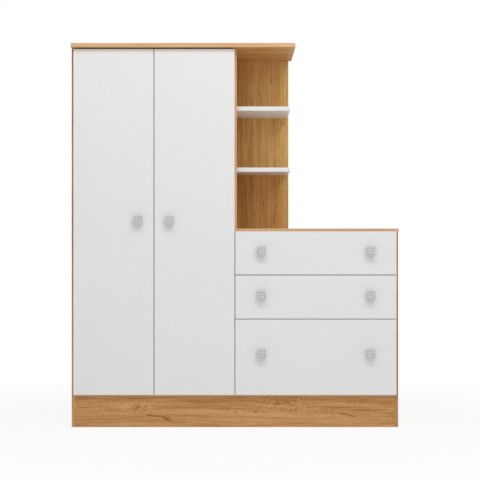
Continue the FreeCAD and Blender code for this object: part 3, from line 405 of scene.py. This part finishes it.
def copies(master, name, places, material, body):
    """One piece made of copies of a master, each turned from +Z to its direction and set down."""
    made = []
    for point, direction in places:
        twin = master.copy()
        twin.data = master.data.copy()
        bpy.context.collection.objects.link(twin)
        turn = Vector(direction).to_track_quat("Z", "Y").to_matrix().to_4x4()
        twin.data.transform(Matrix.Translation(Vector(point)) @ turn)
        made.append(twin)
    bpy.ops.object.select_all(action="DESELECT")
    for twin in made:
        twin.select_set(True)
    bpy.context.view_layer.objects.active = made[0]
    if len(made) > 1:
        bpy.ops.object.join()
    piece = made[0]
    piece.name = name
    return finished(piece, material, body)


def finished(piece, material, body):
    """Give a modelled piece its finish, and set it on the body that it moves with."""
    piece.data.name = piece.name
    piece.data.materials.clear()
    piece.data.materials.append(material)
    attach(piece, body)
    return piece


coat_node("dowels", bare_beech("dowel_beech", "X"))

COVER_RADIUS = 0.0085
COVER_HEIGHT = 0.0011
COVER_RIM = 0.0016
COVER_SINK = 0.0003
COVER_EASING = 0.00025
CAM_FROM_END = 0.034
CAM_FROM_EDGE = 0.082
SHELF_ROWS = (-0.060, 0.120)        # where the open shelves are held to the middle panel, front and rear
SHELF_COLUMNS = (0.060, 0.180)      # and to the board behind them
TAN = display(196, 148, 98)
TAN_SPECKLE = display(186, 138, 88)

cover = start("cylinder", "cam_cover", vertices=32, radius=COVER_RADIUS, depth=COVER_HEIGHT,
              location=(0, 0, COVER_HEIGHT / 2))
pick(cover, "faces", facing((0, 0, 1)))
bpy.ops.mesh.inset(thickness=COVER_RIM)
bpy.ops.transform.translate(value=(0, 0, -COVER_SINK))
rounded(cover, COVER_EASING)

left_low, left_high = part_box("left_side_panel")
middle_low, middle_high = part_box("middle_panel")
right_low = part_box("right_side_panel")[0]
floor_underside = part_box("wardrobe_bottom_panel")[0].z
niche_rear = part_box("niche_back_panel")[1].y
plinth_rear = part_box("front_plinth")[1]
top_cam = left_high.z - CAM_FROM_END
cam_rows = (left_low.y + CAM_FROM_EDGE, left_high.y - CAM_FROM_EDGE)
shelf_levels = [(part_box(name)[0].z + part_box(name)[1].z) / 2
                for name in ("lower_niche_shelf", "upper_niche_shelf")]

cover_places = []
for row in cam_rows:
    cover_places.append(((left_high.x, row, top_cam), (1, 0, 0)))
    cover_places.append(((middle_low.x, row, top_cam), (-1, 0, 0)))
    for joint in (left_high.x + CAM_FROM_END, middle_low.x - CAM_FROM_END,
                  middle_high.x + CAM_FROM_END, right_low.x - CAM_FROM_END):
        cover_places.append(((joint, row, floor_underside), (0, 0, -1)))
for level in shelf_levels:
    for row in SHELF_ROWS:
        cover_places.append(((middle_low.x, row, level), (-1, 0, 0)))
    for column in SHELF_COLUMNS:
        cover_places.append(((column, niche_rear, level), (0, 1, 0)))
for joint in (left_high.x + CAM_FROM_END, right_low.x - CAM_FROM_END):
    cover_places.append(((joint, plinth_rear.y, plinth_rear.z / 2), (0, 1, 0)))
copies(cover, "carcass_cam_covers", cover_places, smooth_plastic("tan_plastic", TAN, TAN_SPECKLE),
       "carcass")


# ---------------------------------------------------------------- white shelves
# The two open shelves and the hat shelf are chipboard in plain white foil with white edge bands. The
# open ones are dowelled and screwed to the boards beside and behind them; the hat shelf lies on pins.

WHITE = display(242, 242, 242)
WHITE_SHADE = display(239, 239, 239)
WHITE_SEAM = display(222, 220, 215)
WHITE_GLOSS = 0.35
WHITE_RELIEF = 0.000035
SEAM_INSET = 0.0011
SEAM_CORE = 0.00010
SEAM_REACH = 0.00028


def white_foil(node, seam_axes, seed):
    """Plain white foil for one board, with the fine line where the edge band meets it."""
    low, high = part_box(node)
    size = dict(zip("XYZ", high - low))
    material, here = new_material(node + "_white")
    spot = centred(here, (low + high) / 2)
    cloud = grainy(here, spot["X"] / 0.35 + seed, spot["Y"] / 0.35, spot["Z"] / 0.35)
    skin = grainy(here, spot["X"] / 0.0016, spot["Y"] / 0.0016 + seed, spot["Z"] / 0.0016, detail=3.0)
    colour = tint(cloud, WHITE, WHITE_SHADE)
    seam = None
    for axis in seam_axes:
        inside = size[axis] / 2 - abs(spot[axis])
        seam = with_mask(seam, 1 - ease(abs(inside - SEAM_INSET), SEAM_CORE, SEAM_REACH))
    colour = tint(seam * 0.55, colour, WHITE_SEAM)
    surface(here, colour, skin * 0.08 + cloud * 0.04 + 0.34, skin - seam * 0.6, WHITE_RELIEF,
            {"Specular IOR Level": WHITE_GLOSS})
    return material


for seed, node in enumerate(("lower_niche_shelf", "upper_niche_shelf", "hat_shelf")):
    coat_node(node, white_foil(node, "XY", seed))


# ---------------------------------------------------------------- back sheets
# Hardboard closes both halves from behind. Its inner face is painted, its outer face is bare and brown,
# and it is held by flat-headed nails driven round its edges and into the uprights.

BOARD_BROWN = display(128, 90, 58)
BOARD_TAN = display(153, 112, 75)
BOARD_SPECK = display(104, 70, 44)
BOARD_CHIP = display(172, 134, 94)
SHEET_PAINT = display(229, 226, 218)
PAINT_DEPTH = 0.0003
SHEET_EASING = 0.0004
NAIL_RADIUS = 0.0026
NAIL_HEAD = 0.0004
NAIL_RIM = 0.0006
NAIL_EASING = 0.0001
NAIL_INSET = 0.0065
NAIL_SPACING = 0.13
NICKEL = display(206, 205, 200)


def hardboard(name, painted_axis, painted_face, painted_side):
    """Pressed brown fibreboard, painted on one face."""
    material, here = new_material(name)
    spot = centred(here, (0, 0, 0))
    cloud = mottle(here, spot, 0.06, detail=4.0, roughness=0.6)
    speck = mottle(here, spot, 0.0022, detail=3.0, roughness=0.7)
    chips = grainy(here, spot["X"] / 0.007, spot["Y"] / 0.007, spot["Z"] / 0.004, detail=1.0)
    chip = ease(chips, 0.66, 0.72)
    bare = tint(cloud, BOARD_BROWN, BOARD_TAN)
    bare = tint(ease(speck, 0.35, 0.75) * 0.55, bare, BOARD_SPECK)
    bare = tint(chip * 0.4, bare, BOARD_CHIP)
    painted = (spot[painted_axis] - painted_face) * painted_side > -PAINT_DEPTH
    surface(here, tint(painted, bare, SHEET_PAINT), speck * 0.2 + 0.42, speck, relief=0.00004)
    return material


def sheet(name, node, material):
    """A back sheet, a little thinner than its node so that the nail heads stay inside it."""
    low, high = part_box(node)
    high.y -= NAIL_HEAD
    piece = start("cube", name, size=1, location=(low + high) / 2, scale=high - low)
    rounded(piece, SHEET_EASING, segments=1)
    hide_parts(node)
    return finished(piece, material, "carcass")


def plated_steel(name, tone, least_rough):
    """Plated steel with the faint drawn lines and clouding of a thin coat."""
    material, here = new_material(name)
    spot = centred(here, (0, 0, 0))
    cloud = mottle(here, spot, 0.012, detail=3.0)
    drawn = grainy(here, spot["X"] / 0.0003, spot["Y"] / 0.006, spot["Z"] / 0.0003)
    dull = tuple(channel * 0.86 for channel in tone[:3]) + (1.0,)
    surface(here, tint(cloud, tone, dull), cloud * 0.10 + drawn * 0.08 + least_rough, drawn,
            relief=0.000006, fixed={"Metallic": 1.0})
    return material


nail = start("cylinder", "nail", vertices=16, radius=NAIL_RADIUS, depth=NAIL_HEAD,
             location=(0, 0, NAIL_HEAD / 2))
pick(nail, "faces", facing((0, 0, 1)))
bpy.ops.mesh.inset(thickness=NAIL_RIM)
rounded(nail, NAIL_EASING, segments=1)

nickel = plated_steel("nickel_steel", NICKEL, least_rough=0.20)
sheet_board = hardboard("back_hardboard", "Y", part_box("wardrobe_back_sheet")[0].y + PAINT_DEPTH, -1)
for half in ("wardrobe", "dresser"):
    node = f"{half}_back_sheet"
    sheet(f"{half}_back", node, sheet_board)
    low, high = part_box(node)
    columns = [low.x + NAIL_INSET, high.x - NAIL_INSET]
    rows = [low.z + NAIL_INSET, high.z - NAIL_INSET]
    up_steps = round((rows[1] - rows[0]) / NAIL_SPACING)
    across_steps = round((columns[1] - columns[0]) / NAIL_SPACING)
    nail_places = []
    for step in range(up_steps + 1):
        for column in columns:
            nail_places.append((column, rows[0] + (rows[1] - rows[0]) * step / up_steps))
    for step in range(1, across_steps):
        for row in rows:
            nail_places.append((columns[0] + (columns[1] - columns[0]) * step / across_steps, row))
    copies(nail, f"{half}_back_nails", [((x, high.y - NAIL_HEAD, z), (0, 1, 0)) for x, z in nail_places],
           nickel, "carcass")


# ---------------------------------------------------------------- screws
# Pan-head screws with a cross recess hold every fitting. They are turned from steel, pressed and zinc
# plated. Only their heads show, so a head is modelled once and copied in each screw's size.

HEAD_RADIUS = 0.0038
HEAD_HEIGHT = 0.0020
HEAD_DOME = 0.0010
RECESS_SPAN = 0.0039
RECESS_WIDTH = 0.0009
RECESS_DEPTH = 0.0012
SCREW_EASING = 0.00012
ZINC = display(196, 197, 196)


def drilled(piece, drill):
    """Cut a drill's shape out of a piece, and take the drill away."""
    bpy.ops.object.mode_set(mode="OBJECT")
    cut = piece.modifiers.new("cut", "BOOLEAN")
    cut.object = drill
    bpy.context.view_layer.objects.active = piece
    bpy.ops.object.modifier_apply(modifier=cut.name)
    bpy.data.objects.remove(drill)
    piece.select_set(True)


screw = start("cylinder", "screw", vertices=16, radius=HEAD_RADIUS, depth=HEAD_HEIGHT,
              location=(0, 0, HEAD_HEIGHT / 2))
pick(screw, "edges", round_top(HEAD_HEIGHT))
bpy.ops.mesh.bevel(offset=HEAD_DOME, segments=2, affect="EDGES")
bpy.ops.object.mode_set(mode="OBJECT")
for across, along in ((RECESS_SPAN, RECESS_WIDTH), (RECESS_WIDTH, RECESS_SPAN)):
    drilled(screw, start("cube", "bit", size=1, location=(0, 0, HEAD_HEIGHT),
                         scale=(across, along, 2 * RECESS_DEPTH)))
bpy.ops.object.mode_set(mode="EDIT")
rounded(screw, SCREW_EASING, segments=1, angle=50)
zinc = plated_steel("zinc_screws", ZINC, least_rough=0.26)


def small_screws(name, places, scale, body):
    """One piece made of screws of another size, copied from the one master."""
    sized = screw.copy()
    sized.data = screw.data.copy()
    sized.data.transform(Matrix.Scale(scale, 4))
    bpy.context.collection.objects.link(sized)
    copies(sized, name, places, zinc, body)
    bpy.data.objects.remove(sized)


# ---------------------------------------------------------------- inside the wardrobe
# The hat shelf lies on four nickel pins. Under it a chromed steel tube carries the hangers, and its ends
# drop into moulded sockets that are screwed to the uprights.

CHROME = display(222, 223, 226)
GREY = display(178, 178, 176)
GREY_SPECKLE = display(170, 170, 168)
SOCKET_FLANGE = 0.0203
SOCKET_COLLAR = 0.0155
SOCKET_BORE = 0.0127
SOCKET_BASE = 0.003
SOCKET_RISE = 0.014
SOCKET_EASING = 0.0005
SOCKET_SCREW_RISE = 0.0179
SOCKET_SCREW_SCALE = 0.58

coat_node("hat_shelf_pins", nickel)
coat_node("clothes_rail", plated_steel("rail_chrome_plate", CHROME, least_rough=0.06))

socket = start("cylinder", "rail_socket", vertices=48, radius=SOCKET_FLANGE, depth=SOCKET_BASE,
               location=(0, 0, SOCKET_BASE / 2))
pick(socket, "faces", facing((0, 0, 1)))
bpy.ops.mesh.inset(thickness=SOCKET_FLANGE - SOCKET_COLLAR)
bpy.ops.mesh.extrude_region_move(TRANSFORM_OT_translate={"value": (0, 0, SOCKET_RISE)})
bpy.ops.mesh.inset(thickness=SOCKET_COLLAR - SOCKET_BORE)
bpy.ops.mesh.extrude_region_move(TRANSFORM_OT_translate={"value": (0, 0, -SOCKET_RISE)})
rounded(socket, SOCKET_EASING)

socket_low, socket_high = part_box("rail_sockets")
socket_middle = (socket_low + socket_high) / 2
socket_ends = ((socket_low.x, 1), (socket_high.x, -1))
sockets = copies(socket, "rail_sockets_moulded",
                 [((x, socket_middle.y, socket_middle.z), (inward, 0, 0)) for x, inward in socket_ends],
                 smooth_plastic("grey_plastic", GREY, GREY_SPECKLE), "carcass")
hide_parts("rail_sockets")
small_screws("rail_socket_screws",
             [((x + SOCKET_BASE * inward, socket_middle.y, socket_middle.z + side * SOCKET_SCREW_RISE),
               (inward, 0, 0)) for x, inward in socket_ends for side in (-1, 1)],
             SOCKET_SCREW_SCALE, "carcass")


# ---------------------------------------------------------------- drawer runners
# Each drawer slides on two planed beech strips, glued and pinned to the uprights, which fill grooves in
# its sides. Their front ends are tapered, so that the drawer finds them.

DRAWERS = ("deep", "middle", "upper")

for name in DRAWERS:
    coat_node(f"{name}_drawer_runners", bare_beech(f"{name}_runner_beech", "Y"))


# ---------------------------------------------------------------- concealed hinges
# Each door hangs on three nickelled cup hinges: a pressed cup in the door, and an arm that is clamped to
# a winged plate on the upright. Screws hold the cup and the plate, and two more set the arm.

HINGE_INSET = 0.1
PLATE_WING = 0.0025
PLATE_SCREW_Y = -0.153
PLATE_SCREW_RISE = 0.016
PLATE_SCREW_SCALE = 0.95
ARM_SCREW_ROWS = (-0.152, -0.168)
ARM_SCREW_SCALE = 0.8
CUP_REACH = 0.0186
CUP_SCREW_IN = 0.010
CUP_SCREW_RISE = 0.0225
CUP_SCREW_SCALE = 0.9

cup_centres = {}
for hand, inward in (("left", 1), ("right", -1)):
    for fitting in ("plates", "arms", "cups", "pins"):
        coat_node(f"{hand}_hinge_{fitting}", nickel)
    door_low, door_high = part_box(f"{hand}_door_panel")
    levels = (door_low.z + HINGE_INSET, (door_low.z + door_high.z) / 2, door_high.z - HINGE_INSET)
    plate_low, plate_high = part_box(f"{hand}_hinge_plates")
    arm_low, arm_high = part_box(f"{hand}_hinge_arms")
    cup_low, cup_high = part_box(f"{hand}_hinge_cups")
    plate_root = plate_low.x if inward > 0 else plate_high.x
    arm_face = arm_high.x if inward > 0 else arm_low.x
    cup_middle = cup_low.x + CUP_REACH if inward > 0 else cup_high.x - CUP_REACH
    cup_centres[hand] = [(cup_middle, level) for level in levels]
    small_screws(f"{hand}_plate_screws",
                 [((plate_root + PLATE_WING * inward, PLATE_SCREW_Y, level + side * PLATE_SCREW_RISE),
                   (inward, 0, 0)) for level in levels for side in (-1, 1)],
                 PLATE_SCREW_SCALE, "carcass")
    small_screws(f"{hand}_arm_screws",
                 [((arm_face, row, level), (inward, 0, 0)) for level in levels for row in ARM_SCREW_ROWS],
                 ARM_SCREW_SCALE, "carcass")
    small_screws(f"{hand}_cup_screws",
                 [((cup_middle + CUP_SCREW_IN * inward, cup_high.y, level + side * CUP_SCREW_RISE),
                   (0, 1, 0)) for level in levels for side in (-1, 1)],
                 CUP_SCREW_SCALE, f"{hand}_door")


# ---------------------------------------------------------------- doors and drawer fronts
# Plain 15 mm boards in white foil with all four edges banded and eased. They cover the edges of the
# carcass and leave 3 mm between one another. Each door is bored from behind for its hinge cups.

DOOR_EASING = 0.0008
CUP_BORE_RADIUS = 0.0176
CUP_BORE_DEPTH = 0.0121


def bored_door(hand, seed):
    """A door board with a blind bore for each of its hinge cups, in its node's place."""
    node = f"{hand}_door_panel"
    low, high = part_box(node)
    board = start("cube", f"{hand}_door_board", size=1, location=(low + high) / 2, scale=high - low)
    bpy.ops.mesh.select_all(action="SELECT")
    bpy.ops.mesh.bevel(offset=DOOR_EASING, segments=1, affect="EDGES")
    bpy.ops.object.mode_set(mode="OBJECT")
    for x, level in cup_centres[hand]:
        drilled(board, start("cylinder", "drill", vertices=48, radius=CUP_BORE_RADIUS,
                             depth=2 * CUP_BORE_DEPTH, location=(x, high.y, level),
                             rotation=(math.radians(90), 0, 0)))
    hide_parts(node)
    finished(board, white_foil(node, "XZ", seed), f"{hand}_door")


for seed, hand in enumerate(("left", "right"), start=4):
    bored_door(hand, seed)
for seed, node in enumerate(("upper_drawer_front", "middle_drawer_front", "deep_drawer_front"), start=6):
    coat_node(node, white_foil(node, "XZ", seed))


# ---------------------------------------------------------------- drawer boxes
# The sides and the back are 12 mm board in a pale matte foil. A painted hardboard bottom slides in a
# groove round the box, and covered cams hold the front to the sides.

FOIL_PALE = display(229, 224, 214)
FOIL_SHADE = display(216, 210, 198)
COVER_WHITE = display(236, 235, 231)
COVER_SPECKLE = display(229, 228, 223)
CAM_QUARTERS = (2, 3.3)     # how high the cams sit, in quarters of the side


def pale_foil(node, seed):
    """Matte foil in a warm pale grey with a faint drawn line along the board."""
    material, here = new_material(node + "_foil")
    spot = centred(here, (0, 0, 0))
    drawn = grainy(here, spot["X"] / 0.05, spot["Y"] / 0.4 + seed, spot["Z"] / 0.0011, detail=3.0)
    cloud = grainy(here, spot["X"] / 0.2, spot["Y"] / 0.2, spot["Z"] / 0.2 + seed)
    colour = tint(drawn * 0.6 + cloud * 0.4, FOIL_PALE, FOIL_SHADE)
    surface(here, colour, drawn * 0.1 + 0.5, drawn, relief=0.00003)
    coat_node(node, material)


white_plastic = smooth_plastic("white_plastic", COVER_WHITE, COVER_SPECKLE)
for seed, name in enumerate(DRAWERS):
    body = f"{name}_drawer"
    for part in ("left_side", "right_side", "back"):
        pale_foil(f"{body}_{part}", seed)
    bottom_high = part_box(f"{body}_bottom")[1]
    coat_node(f"{body}_bottom", hardboard(f"{body}_bottom_board", "Z", bottom_high.z, 1))
    side_low, side_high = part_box(f"{body}_left_side")
    facing_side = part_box(f"{body}_right_side")[0].x
    quarter = (side_high.z - side_low.z) / 4
    copies(cover, f"{body}_cam_covers",
           [((x, side_low.y + CAM_FROM_END, side_low.z + quarter * count), (inward, 0, 0))
            for x, inward in ((side_high.x, 1), (facing_side, -1)) for count in CAM_QUARTERS],
           white_plastic, body)


# ---------------------------------------------------------------- square knobs
# Cast knobs in satin silver grey: a square head with a sunk square line and a dimple in its middle, on a
# square neck with a spread foot. A screw from inside the board holds each one.

KNOB_SIDE = 0.038
KNOB_THICK = 0.009
KNOB_STAND = 0.025
FACE_BEVEL = 0.0008
LINE_SIDE = 0.028
LINE_WALL = 0.0002
LINE_FLOOR = 0.0016
LINE_DEPTH = 0.0008
DIMPLE_RADIUS = 0.0032
DIMPLE_DEPTH = 0.0014
PUNCH_RADIUS = (DIMPLE_RADIUS ** 2 + DIMPLE_DEPTH ** 2) / (2 * DIMPLE_DEPTH)
NECK_SIDE = 0.016
NECK_LENGTH = 0.012
FOOT_SIDE = 0.020
FOOT_SPREAD = 0.002
FOOT_BASE = 0.002
KNOB_EASING = 0.0003
FRONT_THICKNESS = 0.015
KNOB_SCREW_SCALE = 1.05
SILVER = display(204, 204, 204)
SILVER_SHADE = display(196, 196, 196)
SILVER_PAINTED_SHADE = display(138, 138, 138)

knob = start("cube", "knob", size=1, location=(0, 0, KNOB_STAND - KNOB_THICK / 2),
             scale=(KNOB_SIDE, KNOB_SIDE, KNOB_THICK))
pick(knob, "edges", round_top(KNOB_STAND))
bpy.ops.mesh.bevel(offset=FACE_BEVEL, segments=3, affect="EDGES")
pick(knob, "faces", facing((0, 0, 1), KNOB_STAND))
bpy.ops.mesh.inset(thickness=(KNOB_SIDE - LINE_SIDE) / 2 - FACE_BEVEL)
for thickness, rise in ((LINE_WALL, -LINE_DEPTH), (LINE_FLOOR, 0), (LINE_WALL, LINE_DEPTH)):
    bpy.ops.mesh.inset(thickness=thickness)
    bpy.ops.transform.translate(value=(0, 0, rise))
pick(knob, "faces", facing((0, 0, -1), KNOB_THICK - KNOB_STAND))
bpy.ops.mesh.inset(thickness=(KNOB_SIDE - NECK_SIDE) / 2)
bpy.ops.mesh.extrude_region_move(TRANSFORM_OT_translate={"value": (0, 0, -NECK_LENGTH)})
bpy.ops.mesh.extrude_region_move(TRANSFORM_OT_translate={"value": (0, 0, -FOOT_SPREAD)})
bpy.ops.transform.resize(value=(FOOT_SIDE / NECK_SIDE, FOOT_SIDE / NECK_SIDE, 1))
bpy.ops.mesh.extrude_region_move(TRANSFORM_OT_translate={"value": (0, 0, -FOOT_BASE)})
bpy.ops.object.mode_set(mode="OBJECT")
drilled(knob, start("uv_sphere", "punch", segments=24, ring_count=24, radius=PUNCH_RADIUS,
                    location=(0, 0, KNOB_STAND + PUNCH_RADIUS - DIMPLE_DEPTH)))
bpy.ops.object.mode_set(mode="EDIT")
rounded(knob, KNOB_EASING, angle=50)


def satin_grey(name, face):
    """Satin silver lacquer on a casting whose heads all face the front at one level: a fine metallic
    grain, with painted shade on the floor of the line and in the dimple."""
    material, here = new_material(name)
    spot = centred(here, (0, face, 0))
    cloud = mottle(here, spot, 0.015)
    flake = mottle(here, spot, 0.0003, detail=1.0)
    colour = tint(cloud * 0.6 + flake * 0.4, SILVER, SILVER_SHADE)
    depth = spot["Y"]
    # painted shade: the floor of the sunk line and the dimple are darkened where these recesses lie in shade
    sunk = ease(depth, LINE_DEPTH * 0.6, LINE_DEPTH * 0.9) + ease(depth, LINE_DEPTH * 1.02, LINE_DEPTH * 1.2)
    painted_recess_shade = sunk * (1 - ease(depth, DIMPLE_DEPTH, DIMPLE_DEPTH * 1.15))
    colour = tint(painted_recess_shade * 0.45, colour, SILVER_PAINTED_SHADE)
    surface(here, colour, flake * 0.1 + painted_recess_shade * 0.15 + 0.42, flake, relief=0.000012,
            fixed={"Metallic": 0.6})
    return material


satin = satin_grey("satin_silver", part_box("left_door_knob")[0].y)
knob_nodes = [(f"{hand}_door_knob", f"{hand}_door", 1) for hand in ("left", "right")]
knob_nodes += [(f"{name}_drawer_knobs", f"{name}_drawer", 2) for name in DRAWERS]
for node, body, count in knob_nodes:
    low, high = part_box(node)
    half = (high.z - low.z) / 2
    centres = [low.x + half, high.x - half][:count]
    cast = copies(knob, node + "_cast", [((x, high.y, low.z + half), (0, -1, 0)) for x in centres],
                  satin, body)
    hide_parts(node)
    small_screws(node + "_screws",
                 [((x, high.y + FRONT_THICKNESS, low.z + half), (0, 1, 0)) for x in centres],
                 KNOB_SCREW_SCALE, body)

# every copy is made by now, so the masters go
for master in (cover, nail, screw, socket, knob):
    bpy.data.objects.remove(master)


# ---------------------------------------------------------------- felt pads
# Small pads punched out of pressed wool felt take the knock of a closing door or drawer. They are glued
# to the front edges of the carcass.

FELT_PALE = display(232, 229, 220)
FELT_SHADE = display(205, 200, 189)

felt, here = new_material("pressed_felt")
fluff = mottle(here, centred(here, (0, 0, 0)), 0.0005, detail=4.0, roughness=0.7)
surface(here, tint(fluff, FELT_PALE, FELT_SHADE), fluff * 0.1 + 0.85, fluff, relief=0.0002)
coat_node("front_bumpers", felt)


# ---------------------------------------------------------------- room, light and camera
# A plain white floor under a pale surround. A long soft lamp hangs high in front of the piece, and a broad
# square one stands further off to the right.

FLOOR_SIZE = 24
FLOOR_PAINT = display(248, 248, 248)
FLOOR_ROUGHNESS = 0.8
GLOW_NEAR = 0.88            # share of plain white that the floor shows at the piece's foot
SHADOW_EDGE = 0.9           # metres from the middle at which that share begins to rise
WHITE_EDGE = 2.2            # and at which the floor is all white
WHITE_LIGHT = (1, 1, 1, 1)
AMBIENT = 0.51
LAMP_AIM = Vector((0, -0.2, 0.9))
LAMPS = (                   # name, width, height, power and place
    ("front_lamp", 3.2, 0.7, 39, (0.20, -2.32, 3.65)),
    ("side_lamp", 2.0, 2.0, 32, (1.90, -4.80, 3.30)),
)
CAMERA_PLACE = (0.0202, -5.789, 0.822)
LENS = 97.9
SENSOR_WIDTH = 36
FRAME_SHIFT = -4.5 / 480


def seen_plainly(here):
    """1 for what the camera sees, by itself or in metal or glass, and 0 for the light on the piece."""
    seen = here.node("LightPath", output="Is Camera Ray") | here.node("LightPath", output="Is Glossy Ray")
    return seen | here.node("LightPath", output="Is Transmission Ray")


bpy.ops.object.select_all(action="DESELECT")
bpy.ops.mesh.primitive_plane_add(size=FLOOR_SIZE, location=(0, 0, 0))
floor = bpy.context.object
floor.name = "floor"
floor_paint, here = new_material("floor_paint")
shader = here.tree.nodes["Principled BSDF"]
shader.inputs["Base Color"].default_value = FLOOR_PAINT
shader.inputs["Roughness"].default_value = FLOOR_ROUGHNESS
spot = centred(here, (0, 0, 0))
away = (spot["X"] ** 2 + spot["Y"] ** 2) ** 0.5
glow = here.node("Emission", {}, {"Color": WHITE_LIGHT, "Strength": 1.0})
share = seen_plainly(here) * (ease(away, SHADOW_EDGE, WHITE_EDGE) * (1 - GLOW_NEAR) + GLOW_NEAR)
mixed = here.node("MixShader", {}, {0: share, 1: Wire(here.tree, shader.outputs[0]), 2: glow})
here.tree.links.new(mixed.socket, here.tree.nodes["Material Output"].inputs["Surface"])
floor.data.materials.append(floor_paint)

world = bpy.data.worlds.new("surround")
bpy.context.scene.world = world
world.use_nodes = True
strength = seen_plainly(Wire(world.node_tree)) * (1 - AMBIENT) + AMBIENT
backdrop = world.node_tree.nodes["Background"]
backdrop.inputs["Color"].default_value = WHITE_LIGHT
world.node_tree.links.new(strength.socket, backdrop.inputs["Strength"])

for name, width, height, power, place in LAMPS:
    bpy.ops.object.light_add(type="AREA", location=place)
    lamp = bpy.context.object
    lamp.name = name
    lamp.data.shape = "RECTANGLE"
    lamp.data.size = width
    lamp.data.size_y = height
    lamp.data.energy = power
    lamp.rotation_euler = (LAMP_AIM - Vector(place)).to_track_quat("-Z", "Y").to_euler()

bpy.ops.object.camera_add(location=CAMERA_PLACE, rotation=(math.radians(90), 0, 0))
camera = bpy.context.object
camera.data.lens = LENS
camera.data.sensor_width = SENSOR_WIDTH
camera.data.shift_y = FRAME_SHIFT
bpy.context.scene.camera = camera
bpy.context.scene.view_settings.view_transform = "Standard"
